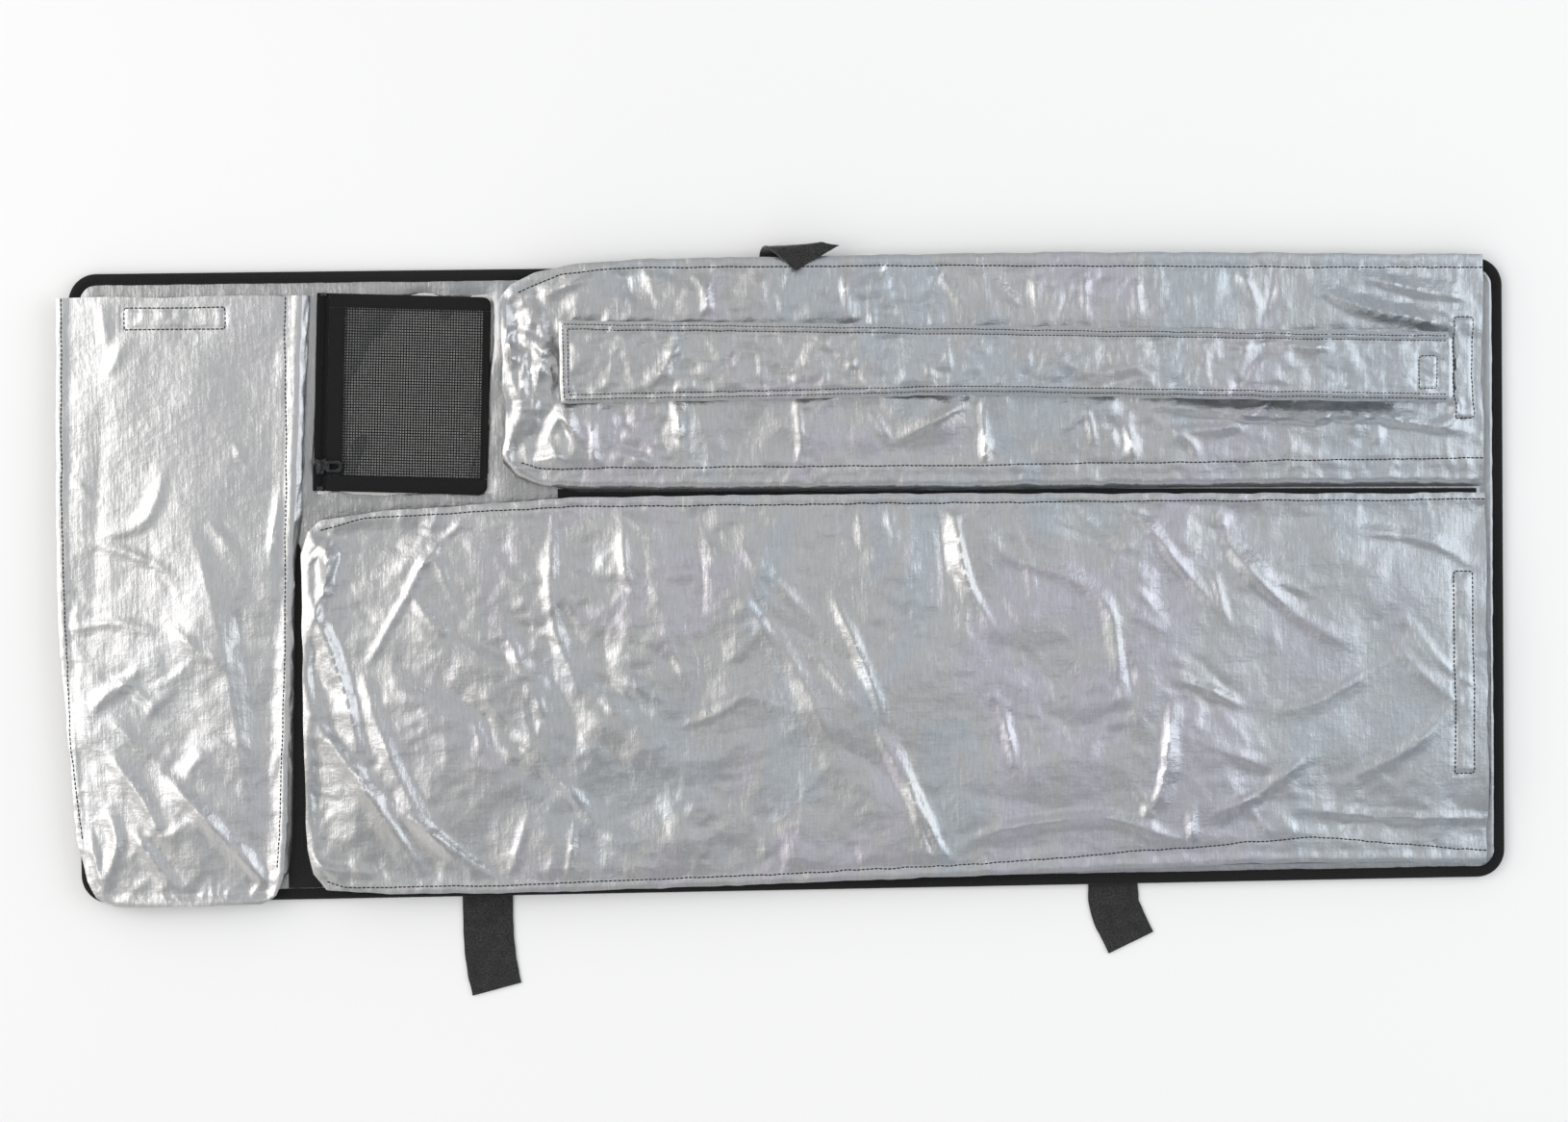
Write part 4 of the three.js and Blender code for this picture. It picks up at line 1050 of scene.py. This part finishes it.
def narrow_relief(a, c):
    low, high = NARROW.edges(a)
    end = a - NARROW.closed
    edge = np.minimum(np.minimum(c - low, high - c), end)
    body = step_up(edge, 6, 13)
    z = rolled(edge, 1.0, 1.0) + groove(edge - 3.0, 0.35, 0.7) + groove(edge - 7.2, 0.8, 1.1)
    z += 0.15 * np.exp(-((edge - 5.2) / 1.3) ** 2)
    z += puckers(a, high - c, 81, (6, 22), (0.3, 1.0), (6, 16), 3)
    z += puckers(a, c - low, 82, (6, 22), (0.3, 1.1), (6, 16), 3)
    z += puckers(c, end, 83, (6, 14), (0.4, 1.2), (5, 12), 2) * step_up(end, 0, 6)
    slack = 0.7 * noise(a, c, 36, 84) + 1.2 * facets(a, c, 24, 85, 0.4)
    slack += 0.9 * facets(a, c, 14, 86, 0.9) + 0.35 * facets(a, c, 7, 88, 0.3)
    slack += creases(a, c, NARROW_FOLDS)
    slack += random_creases(a, c, 34, 87, 60, 35, (14, 40), (0.3, 1.0))
    z += body * slack
    return z + patch(a, c, *STRIPS["narrow"], 0.4)


def pouch_relief(a, c):
    low, high = POUCH.edges(a)
    left, right = line_distance(a, c, POUCH_LEFT), -line_distance(a, c, POUCH_RIGHT)
    end = a - POUCH.closed
    body = step_up(np.minimum(left, right), -2, 12) * step_up(end, 0, 12)
    z = rolled(np.minimum(np.minimum(c - low, high - c), end))
    z += groove(left) + groove(right)
    lower_half = step_up(-a, -80, 60)
    z += puckers(a, left, 101, (4, 13), (0.15, 0.6), (6, 26), 2) * (0.35 + 0.65 * lower_half)
    z += puckers(a, right, 102, (9, 34), (0.1, 0.4), (6, 20), 2) * (0.3 + 0.7 * lower_half)
    z += puckers(c, end, 103, (14, 34), (0.7, 2.0), (16, 50), 3) * step_up(end, 0, 14)
    slack = (1.2 + 1.3 * lower_half) * noise(a, c, 70, 104) + 0.6 * noise(a, c, 30, 105)
    slack += (0.3 + 1.0 * lower_half) * facets(a, c, 38, 106, 0.4)
    slack += (0.06 + 0.4 * lower_half) * facets(a, c, 15, 107, 0.9)
    slack += (0.05 + 0.12 * lower_half) * facets(a, c, 8, 108, 0.1)
    slack += creases(a, c, POUCH_FOLDS)
    slack += lower_half * random_creases(a, c, 46, 109, 40, 60, (20, 60))
    z += body * slack
    z += patch(a, c, *STRIPS["pouch"], 0.5)
    return z - 0.2 * body


NARROW.cap, NARROW.coarse = (-0.8, 2.0), 1.8
UPPER.ragged = 2.6
UPPER_UNDER = (-194, 546)


def upper_held(a, c):
    """The upper sleeve's front is sewn at its edges and where the narrow sleeve stands."""
    low, high = UPPER.edges(a)
    narrow_low, narrow_high = NARROW.edges(a)
    under = (a > UPPER_UNDER[0]) & (a < UPPER_UNDER[1]) & (c > narrow_low) & (c < narrow_high)
    return (np.minimum(np.minimum(c - low, high - c), a - UPPER.closed) < 7) | under


UPPER.held = upper_held


def cut(front, start, end):
    """The face's rows between two distances along the sleeve."""
    along = front.a[:, 0]
    keep = (along >= start - 1e-6) & (along <= end + 1e-6)
    return front.face[keep]


def bend(piece, front, body):
    """Bakes the piece's transform into its mesh; the piece is not bent."""
    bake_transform(piece)


def wall(name, front, stations, side, seed, replaced, mouth=None,
         from_a=None, to_a=None, body="panel", on=None, bulge=1.6):
    """A gusset from the lining up to a front's seam. Stations are (along, foot, top)."""
    s = np.array(stations, float)
    start = s[0, 0] if from_a is None else from_a
    end = s[-1, 0] if to_a is None else to_a
    a = np.linspace(start, end, max(int((end - start) / 3), 4))
    foot, top = np.interp(a, s[:, 0], s[:, 1]), np.interp(a, s[:, 0], s[:, 2])
    base = np.full_like(a, GUSSET_FOOT) if on is None else on(a, foot)
    head = front.at(a, top)[:, 2] - GUSSET_DROP
    t = np.linspace(0, 1, 10)[None]
    a, foot, top, base, head = (v[:, None] for v in (a, foot, top, base, head))
    rise = head - base
    c = foot + (top - foot) * t
    z = base + rise * t
    ruck = bulge * np.sin(np.pi * t) + 1.1 * np.sin(np.pi * t) * (
        facets(a + 0 * t, t * 24 + 0 * a, 17, seed, 0.5) + 0.6 * noise(a + 0 * t, t * 20, 12, seed))
    c = c + side * ruck
    grid = front.place(a + 0 * t, c, z + 0 * a)
    flip = (side > 0) == front.turned
    piece = shell(name, grid, SILVER, 0.5, flip=flip)
    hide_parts(*replaced)
    if mouth:
        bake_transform(piece)
    else:
        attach(piece, body)


def end_wall(name, front, stations, seed, replaced, on=None, bulge=1.4):
    """A gusset across a closed end. Stations are (across, foot along, top along)."""
    s = np.array(stations, float)
    c = np.linspace(s[0, 0], s[-1, 0], max(int((s[-1, 0] - s[0, 0]) / 3), 4))
    foot, top = np.interp(c, s[:, 0], s[:, 1]), np.interp(c, s[:, 0], s[:, 2])
    base = np.full_like(c, GUSSET_FOOT) if on is None else on(foot, c)
    head = front.at(top, c)[:, 2] - GUSSET_DROP
    t = np.linspace(0, 1, 10)[None]
    c, foot, top, base, head = (v[:, None] for v in (c, foot, top, base, head))
    ruck = np.sin(np.pi * t) * (bulge + 1.1 * facets(c + 0 * t, t * 24 + 0 * c, 15, seed, 0.5))
    a = foot + (top - foot) * t - ruck
    grid = front.place(a, c + 0 * t, base + (head - base) * t)
    piece = shell(name, grid, SILVER, 0.5, flip=front.turned)
    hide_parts(*replaced)
    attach(piece, "panel")


def tape_patch(name, face, box, material, body, replaced, turned):
    """A piece of hook or loop tape that follows a surface, given as face(a, c)."""
    a0, a1, c0, c1 = box
    x, y = np.meshgrid(np.linspace(a0, a1, max(int((a1 - a0) / 1.5), 4)),
                       np.linspace(c0, c1, max(int((c1 - c0) / 1.5), 4)), indexing="ij")
    edge = -box_distance(x, y, *box)
    z = face(x, y) - 0.25 * np.exp(-edge / 0.8) + 0.08 * noise(x, y, 3, 90)
    grid = np.stack([y, x, z] if turned else [x, y, z], -1)
    piece = shell(name, grid, material, 1.2, flip=turned, down=True)
    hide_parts(replaced)
    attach(piece, body)


def mouth_strips(front, kind, loops_face, loops_body="panel"):
    """The hook strip behind a front's mouth and the loop strip that faces it."""
    name, box = front.name, STRIPS[front.name]

    def behind(a, c):
        return front.at(a, c)[..., 2] - CLOTH - 0.45

    tape_patch(f"{name}_hooks", behind, box, GREY_HOOK, f"{name}_mouth",
               f"{name}_hook_{kind}", front.turned)
    tape_patch(f"{name}_loops", loops_face, box, GREY_LOOP, loops_body,
               f"{name}_loop_{kind}", front.turned)


def make_front(front, finish, seams, seed, walls, end_label, end_stations):
    """A front with its stitching, gussets and strips. Walls are (label, side, bulge, stations)."""
    name, mouth, split = front.name, front.name + "_mouth", SPLIT[front.name]
    cloth = shell(f"{name}_cloth", front.face, finish, flip=front.turned)
    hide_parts(f"{name}_front", f"{name}_lip")
    bend(cloth, front, mouth)
    lines = [front.seam(seams[0]), front.seam(seams[1], seed=1), front.box_seam(*STRIPS[name])]
    bend(thread(f"{name}_thread", lines, THREAD), front, mouth)
    for label, side, bulge, stations in walls:
        node = f"{name}_wall_{label}"
        wall(f"{name}_gusset_{label}", front, stations, side, seed, [node], to_a=split,
             bulge=bulge)
        wall(f"{name}_gusset_{label}_mouth", front, stations, side, seed, [node], mouth,
             from_a=split, bulge=bulge)
    end_wall(f"{name}_gusset_{end_label}", front, end_stations, seed + 2,
             [f"{name}_wall_{end_label}"])
    mouth_strips(front, "strip", lambda a, c: LOOP_STRIP_TOP + 0 * a)


def make_pouch():
    left = [(-245, -570, -573), (-236, -578, -581), (-205, -580.5, -588), (43, -581, -599),
            (240, -581, -597)]
    right = [(-245, -430, -440), (-236, -424, -432), (-205, -419.5, -428), (20, -413.5, -419),
             (60, -407, -415.5), (240, -397, -405)]
    make_front(POUCH, LIT_POUCH_SILVER, (POUCH_LEFT, POUCH_RIGHT), 111,
               [("left", -1, 1.6, left), ("right", 1, 1.6, right)],
               "bottom", [(-576, -240, -246), (-500, -245, -254), (-430, -242, -249)])


def make_lower():
    high = [(-402, 32, 35), (-394, 41, 43.5), (-386, 45, 46), (-339, 51, 54), (-260, 57, 59),
            (-180, 60, 63)]
    high += [(a, float(seam_y(a)) - 9.5, top) for a, top in ((60, 63), (380, 59), (577, 56.5))]
    low = [(-402, -222, -226), (-394, -234, -238), (-386, -241, -243), (-339, -245, -247),
           (-180, -246.5, -248), (60, -246, -244), (380, -245, -237), (577, -246, -239)]
    make_front(LOWER, SILVER, (LOWER_HIGH, LOWER_LOW), 115,
               [("high", 1, 1.6, high), ("low", -1, 1.6, low)],
               "end", [(-243, -391, -386), (-216, -401, -396), (-150, -406, -401),
                       (28, -408, -402), (46, -398, -391)])


def make_upper():
    high = [(-212, 242, 246), (-177, 246, 254), (-130, 246.5, 258), (222, 246.5, 260),
            (400, 246.5, 258), (576, 246.5, 255)]
    foot = [float(seam_y(a)) + 0.8 for a in (-212, -177, 141, 576)]
    low = [(-212, foot[0] + 7, 89.5), (-177, foot[1] - 1, 87), (141, foot[2], 87),
           (300, foot[2] + 0.5, 87), (576, foot[3] + 3.5, 86)]
    make_front(UPPER, SILVER, (UPPER_HIGH, UPPER_LOW), 119,
               [("high", 1, 1.6, high), ("low", -1, 1.0, low)],
               "end", [(84, -222, -219), (94, -230, -226), (104, -235, -231),
                       (234, -235, -231), (246, -226, -222)])


def on_upper(a, c):
    return UPPER.at(a, c)[..., 2] + 0.15


def make_narrow():
    along = NARROW.a[:, 0]
    join = float(along[np.argmin(np.abs(along - NARROW_JOIN))])
    split, edges = SPLIT["upper"], NARROW.edges
    halves = (("narrow_cloth", NARROW.closed, join, "narrow_front", "panel", "upper_mouth",
               split - 6, split + 8),
              ("narrow_mouth_cloth", join, NARROW.mouth, "narrow_lip", "upper_mouth",
               "narrow_mouth", join, join + 14))
    for name, start, end, replaced, body, mouth, low, high in halves:
        piece = shell(name, cut(NARROW, start, end), SILVER, 0.5)
        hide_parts(replaced)
        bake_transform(piece)
    for k, (*_, body, mouth, low, high) in enumerate(halves):
        a = np.arange(join, NARROW.mouth - 1, 4.0) if k else np.arange(NARROW.closed + 3, join, 4.0)
        lines = []
        for inset in (3.2, 7.2):
            run = np.clip(a, NARROW.closed + inset, None)
            lines += [NARROW.seam(list(zip(run, edges(run)[0] + inset)), 0.2, k),
                      NARROW.seam(list(zip(run, edges(run)[1] - inset)), 0.2, k + 2)]
            if k == 0:
                c = np.linspace(149 + inset, 216 - inset, 16)
                lines.append(NARROW.at(np.full_like(c, NARROW.closed + inset), c))
            elif inset < 4:
                lines.append(NARROW.box_seam(*STRIPS["narrow"]))
        seams = thread(f"narrow_thread_{k}", lines, THREAD, 3.1, 0.42)
        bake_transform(seams)
    for label, side in (("high", 1), ("low", -1)):
        node = f"narrow_wall_{label}"
        stations = []
        for a in (-186, -40, 141, 290, SPLIT["narrow"], 486, NARROW.mouth - 2):
            low_edge, high_edge = edges(a)
            line = float(high_edge - 5 if side > 0 else low_edge + 5)
            stations.append((a, line + side * 1.5, line))
        wall(f"narrow_gusset_{label}", NARROW, stations, side, 123, [node], on=on_upper,
             to_a=split - 6, bulge=0.8)
        wall(f"narrow_gusset_{label}_mouth", NARROW, stations, side, 123, [node + "_mouth"],
             on=on_upper, from_a=split - 6, body="upper_mouth", mouth="narrow_mouth", bulge=0.8)
    end_wall("narrow_gusset_end", NARROW, [(154, -188, -187), (212, -188, -187)], 125,
             ["narrow_wall_end"], on=on_upper, bulge=0.6)
    mouth_strips(NARROW, "tab", lambda a, c: UPPER.at(a, c)[..., 2] + 1.3, "upper_mouth")


# === Mesh pocket and its zip ===

POCKET = {"x": -322.5, "y": 158, "turn": math.radians(-2.2), "half": (71.5, 81.5)}
ZIP_X = -66.2


def in_pocket(points):
    """Pocket millimetres, from its centre, to panel millimetres."""
    p = np.asarray(points, float)
    cos, sin = math.cos(POCKET["turn"]), math.sin(POCKET["turn"])
    return np.stack([p[..., 0] * cos - p[..., 1] * sin + POCKET["x"],
                     p[..., 0] * sin + p[..., 1] * cos + POCKET["y"], p[..., 2]], -1)


def border(name, x, y, replaced, seed, ribs_along_x):
    """A border tape of the mesh pocket, softly uneven."""
    long = max(x[1] - x[0], y[1] - y[0])
    n = max(int(long / 2), 8)
    shape = (n, 9) if ribs_along_x else (9, n)
    u, v = np.meshgrid(np.linspace(*x, shape[0]), np.linspace(*y, shape[1]), indexing="ij")
    off = -box_distance(u, v, *x, *y)
    z = 9.75 + 0.3 * noise(u, v, 22, seed) + 0.15 * noise(u, v, 8, seed + 1) - 0.4 * np.exp(
        -np.clip(off, 0, None) / 0.9)
    radius = 7.0
    hx, hy = POCKET["half"]
    dx = np.clip(u - (hx - radius), 0, None)
    dy = np.clip(np.abs(v) - (hy - radius), 0, None)
    far = np.hypot(dx, dy)
    pull = np.where((dx > 0) & (dy > 0), np.maximum(dx, dy) / np.maximum(far, 1e-6), 1)
    u, v = u - dx * (1 - pull), v - np.sign(v) * dy * (1 - pull)
    piece = shell(name, in_pocket(np.dstack([u, v, z])), BORDER, 0.75)
    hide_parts(replaced)
    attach(piece, "panel")


def make_mesh_pocket():
    hx, hy = POCKET["half"]
    left = ZIP_X + 1.25 + 0.15 + 3.2 + 0.3
    pitch, strand, level, weave, stray = 2.25, 0.52, 8.45, 0.16, 0.12
    paths = []
    xs = np.arange(left + 12, hx - 4.5, pitch)
    ys = np.arange(-hy + 11, hy - 9.5, pitch)
    for k, x in enumerate(xs):
        y = np.arange(-hy + 9, hy - 8, pitch / 2)
        z = level + weave * np.cos(np.arange(len(y)) * math.pi + k * math.pi)
        paths.append(in_pocket(np.stack([x + stray * noise(y, y * 0 + x, 30, 131), y, z], 1)))
    for k, y in enumerate(ys):
        x = np.arange(left + 10, hx - 3, pitch / 2)
        z = level - weave * np.cos(np.arange(len(x)) * math.pi + k * math.pi)
        paths.append(in_pocket(np.stack([x, y + stray * noise(x, x * 0 + y, 30, 132), z], 1)))
    net = tubes("mesh_net", paths, [strand] * len(paths), MESH, sides=4,
                squash=0.5)
    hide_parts("mesh_sheet")
    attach(net, "panel")

    for edge, x, y, seed, ribs_along_x in (
            ("top", (left, hx), (hy - 11.5 + 0.2, hy), 133, True),
            ("bottom", (left, hx), (-hy, -hy + 13 - 0.2), 135, True),
            ("right", (hx - 6.5, hx), (-hy + 13, hy - 11.5), 137, False),
            ("zip", (left, left + 13), (-hy + 13, hy - 11.5), 139, False)):
        border(f"mesh_edge_{edge}", x, y, f"mesh_border_{edge}", seed, ribs_along_x)

    inset = 1.6
    xs = [left + 1.5, hx - 2 - inset, hx - inset, hx - inset, hx - 2 - inset, left + 1.5]
    ys = [hy - inset, hy - inset, hy - 8, -hy + 8, -hy + inset, -hy + inset]
    lines = [np.stack([xs, ys], 1)]
    lines += [np.array(ends) for ends in (
        [(left + 11.5, -hy + 13), (left + 11.5, hy - 11.5)],
        [(left + 11.5, hy - 10.3), (hx - 6, hy - 10.3)],
        [(left + 11.5, -hy + 11.7), (hx - 6, -hy + 11.7)],
        [(hx - 5.4, -hy + 12), (hx - 5.4, hy - 11)])]
    stitched = []
    for line in lines:
        line = resample(line, 3)
        flat = in_pocket(np.column_stack([line, np.full(len(line), 9.85)]))
        stitched.append(np.hstack([flat, np.zeros_like(flat) + [0, 0, 1]]))
    seam = thread("mesh_thread", stitched, BLACK_THREAD, pitch=3.0, radius=0.28)
    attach(seam, "panel")

    for side, (x0, x1) in (("left", (ZIP_X - 0.15 - 1.25 - 4.2, ZIP_X - 0.15)),
                           ("right", (ZIP_X + 0.15, ZIP_X + 0.15 + 1.25 + 3.2))):
        u, v = np.meshgrid(np.linspace(x0, x1, 6), np.linspace(-hy, hy, 80), indexing="ij")
        z = 8.68 + 0.06 * noise(u, v, 12, 141)
        piece = shell(f"zip_cloth_{side}", in_pocket(np.dstack([u, v, z])), ZIP_TAPE,
                      0.7)
        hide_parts(f"zip_tape_{side}")
        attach(piece, "panel")
        sign = -1 if side == "left" else 1
        turns = np.arange(0, (79 + 77.5) / 1.35, 1 / 8)
        y = -77.5 + turns * 1.35 + (0 if sign < 0 else 0.67)
        angle = turns * 2 * math.pi
        x = ZIP_X + sign * (0.72 + 0.62 * np.cos(angle))
        z = 9.7 + 0.52 * np.sin(angle)
        keep = y < 79
        path = in_pocket(np.stack([x, y, z], 1)[keep])
        coil = tubes(f"zip_helix_{side}", [path], [0.24], MESH, sides=5)
        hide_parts(f"zip_coil_{side}")
        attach(coil, "panel")
    for node in ("zip_slider", "zip_puller", "zip_stop_top", "zip_stop_bottom"):
        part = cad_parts[node]
        part.material_slots[0].material = METAL
        bevel = part.modifiers.new("soft_edges", "BEVEL")
        bevel.width, bevel.segments, bevel.limit_method = 0.00022, 2, "ANGLE"
        bevel.angle_limit = math.radians(40)


# === Straps of loop tape ===


def strap(name, centres, across, facing, replaced, seed):
    """A strap through stations: its middle, the way across it and the way that it faces."""
    lengths = run_lengths(np.array(centres, float))
    marks = np.linspace(0, lengths[-1], int(lengths[-1] / 1.5) + 2)

    def spread(values):
        v = np.array(values, float)
        return np.stack([np.interp(marks, lengths, v[:, k]) for k in range(3)], 1)

    middle, side, up = spread(centres), unit(spread(across)), unit(spread(facing))
    for _ in range(2):
        middle[1:-1] = (middle[:-2] + 2 * middle[1:-1] + middle[2:]) / 4
    w = np.linspace(-21, 21, 29)
    edge = 1 - 0.35 * (noise(marks, marks * 0, 9, seed)[:, None]) / 21
    grid = middle[:, None] + side[:, None] * (w[None, :, None] * edge[..., None])
    u, v = np.meshgrid(marks, w, indexing="ij")
    fray = 0.14 * noise(u, v, 1.6, seed + 1) + 0.3 * noise(u, v, 14, seed + 2) * 0.5
    selvedge = -0.35 * np.exp(-(21 - np.abs(v)) / 1.2)
    grid = grid + up[:, None] * (0.7 + fray + selvedge)[..., None]
    flip = float(np.dot(np.cross(middle[1] - middle[0], side[0]), up[0])) < 0
    piece = shell(name, grid, STRAP_LOOP, 1.25, flip=flip)
    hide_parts(*replaced)
    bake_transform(piece)


def flat_strap(name, x, steps, replaced):
    """A strap that lies on the floor. Steps are (distance, turn in degrees)."""
    z = 1.0
    centres = [(x, -250.3, z), (x, -261.6, z), (x, -262.6, z)]
    across = [(1, 0, 0)] * 3
    heading, cx, cy = 0.0, x, -262.6
    for distance, turn in steps:
        middle = math.radians(heading + turn / 2)
        heading += turn
        cx, cy = cx + distance * math.sin(middle), cy - distance * math.cos(middle)
        centres.append((cx, cy, z))
        across.append((math.cos(math.radians(heading)), math.sin(math.radians(heading)), 0))
    strap(name, centres, across, [(0, 0, 1)] * len(centres), replaced,
          seed=150 + len(steps))


def make_straps():
    flat_strap("strap_left_tape", -260, [(16, 0), (16, 2), (16, 4), (15, 4), (14, 4)],
               ("strap_left_root", "strap_left"))
    flat_strap("strap_right_tape", 264, [(13, 3), (9, 22), (13, 0), (16, 0)],
               ("strap_right_root", "strap_right"))
    rows_ = [(250.5, 1.0, 0, 0, 0), (266, 1.1, 10, 0, 0), (271.5, 4, 50, 0.5, 0),
             (274.5, 12, 80, 2, 0), (275.6, 20, 90, 4, 1), (275.9, 23.6, 105, 5.5, 3),
             (275.0, 25.8, 145, 9, 7), (272.4, 26.9, 172, 14, 13), (268.6, 27.0, 180, 20, 21),
             (265.0, 26.2, 184, 26, 30)]
    centres, across, facing = [], [], []
    for y, z, tilt, shift, swing in rows_:
        lean, turn = math.radians(tilt), math.radians(swing)
        centres.append((-5 + shift, y, z))
        across.append((math.cos(turn), math.sin(turn), 0))
        facing.append((0, -math.sin(lean), math.cos(lean)))
    strap("strap_top_tape", centres, across, facing, ("strap_top_riser", "strap_top_flap"),
          seed=160)


# === Studio ===


# In metres, degrees and the lens's millimetres: nearly straight above, a little tilted.
CAMERA_PLACE = (-0.0978, 0.1519, 2.6)
CAMERA_TURN = (-2.238, -2.125, -0.797)
CAMERA_LENS = 71.66


def make_camera():
    scene = bpy.context.scene
    scene.view_settings.view_transform = "Standard"
    camera = bpy.data.cameras.new("camera")
    camera.sensor_width, camera.lens = 36.0, CAMERA_LENS
    holder = bpy.data.objects.new("camera", camera)
    holder.location = CAMERA_PLACE
    holder.rotation_euler = [math.radians(v) for v in CAMERA_TURN]
    scene.collection.objects.link(holder)
    scene.camera = holder


def make_floor(size=14.0, gap=0.0004):
    """White paper, just clear of the panel's underside."""
    floor = bpy.data.meshes.new("floor")
    floor.from_pydata([(-size, -size, 0), (size, -size, 0), (size, size, 0), (-size, size, 0)], [],
                      [(0, 1, 2, 3)])
    paper = Finish("studio_paper")
    paper.set(Base_Color=paper.ramp(paper.noise(1.2, 2.0), (0.3, (0.9, 0.9, 0.903)),
                                    (0.7, (0.915, 0.915, 0.915))),
              Roughness=paper.range(paper.noise(40.0), 0.85, 0.95), Specular_IOR_Level=0.1)
    floor.materials.append(paper.material)
    stage = bpy.data.objects.new("floor", floor)
    stage.location = (0, 0, -gap)
    bpy.context.scene.collection.objects.link(stage)


def make_world():
    """Soft boxes of light and dark that the film mirrors, warmer on the left than the right."""
    world = bpy.data.worlds.new("studio")
    bpy.context.scene.world = world
    world.use_nodes = True
    tree = world.node_tree
    ground = tree.nodes["Background"]
    coord = tree.nodes.new("ShaderNodeTexCoord")
    split = tree.nodes.new("ShaderNodeSeparateXYZ")
    tree.links.new(coord.outputs["Generated"], split.inputs[0])

    def ramp(axis, stops):
        """Brightness by one component of the direction, from -1 to 1."""
        node = tree.nodes.new("ShaderNodeValToRGB")
        tree.links.new(map_range(split.outputs[axis], -1, 1, 0, 1), node.inputs["Fac"])
        elements = node.color_ramp.elements
        while len(elements) < len(stops):
            elements.new(0.5)
        for element, (position, value) in zip(elements, stops):
            element.position, element.color = (position + 1) / 2, (value, value, value, 1)
        return node.outputs["Color"]

    def map_range(socket, low, high, to_low, to_high):
        node = tree.nodes.new("ShaderNodeMapRange")
        tree.links.new(socket, node.inputs["Value"])
        for key, value in (("From Min", low), ("From Max", high), ("To Min", to_low),
                           ("To Max", to_high)):
            node.inputs[key].default_value = value
        return node.outputs[0]

    def mix(factor, a, b, kind="MIX"):
        node = tree.nodes.new("ShaderNodeMix")
        node.data_type, node.blend_type = "RGBA", kind
        for key, value in (("Factor", factor), (6, a), (7, b)):
            if isinstance(value, bpy.types.NodeSocket):
                tree.links.new(value, node.inputs[key])
            else:
                node.inputs[key].default_value = value
        return node.outputs[2]

    across = ramp("X", [(-1, 0.95), (-0.85, 1.2), (-0.65, 1.5), (-0.45, 1.25), (-0.3, 1.25),
                        (-0.19, 0.98), (-0.11, 0.64), (0.05, 0.61), (0.14, 0.82), (0.26, 1.03),
                        (0.38, 0.6), (0.52, 0.4), (0.68, 0.8), (0.84, 0.85), (1, 0.8)])
    away = ramp("Y", [(-1, 1.0), (-0.8, 0.85), (-0.5, 0.5), (-0.2, 0.88), (-0.02, 1.0), (0.2, 1.0),
                      (0.5, 0.66), (0.8, 0.95), (1, 1.1)])
    light = mix(1.0, across, away, "MULTIPLY")
    tint = mix(map_range(split.outputs["X"], -0.6, 0.6, 0.0, 1.0), (1.03, 1.0, 0.96, 1),
               (0.94, 0.99, 1.045, 1))
    tree.links.new(mix(1.0, light, tint, "MULTIPLY"), ground.inputs["Color"])
    ground.inputs["Strength"].default_value = 1.0


def make_lamps():
    """Square lamps: name, place, what they face, width, power and colour."""
    lamps = [("left", (-2.2, 0.5, 2.0), (0, 0, 0), 2.2, 24, (1.0, 0.99, 0.97)),
             ("right", (2.3, 0.4, 1.9), (0.1, 0, 0), 2.2, 20, (0.95, 0.98, 1.0))]
    for name, place, aim, width, power, colour in lamps:
        light = bpy.data.lights.new(name, "AREA")
        light.shape, light.size, light.energy, light.color = "SQUARE", width, power, colour
        lamp = bpy.data.objects.new("lamp_" + name, light)
        lamp.location = place
        way = np.array(aim, float) - np.array(place)
        lamp.rotation_euler = Vector(way).to_track_quat("-Z", "Y").to_euler()
        bpy.context.scene.collection.objects.link(lamp)


make_camera()
make_floor()
make_world()
make_lamps()
for front, relief in ((POUCH, pouch_relief), (LOWER, lower_relief), (UPPER, upper_relief),
                      (NARROW, narrow_relief)):
    front.relieve(relief)
settle([POUCH, LOWER, UPPER, NARROW])
make_base()
make_pouch()
make_lower()
make_upper()
make_narrow()
make_mesh_pocket()
make_straps()
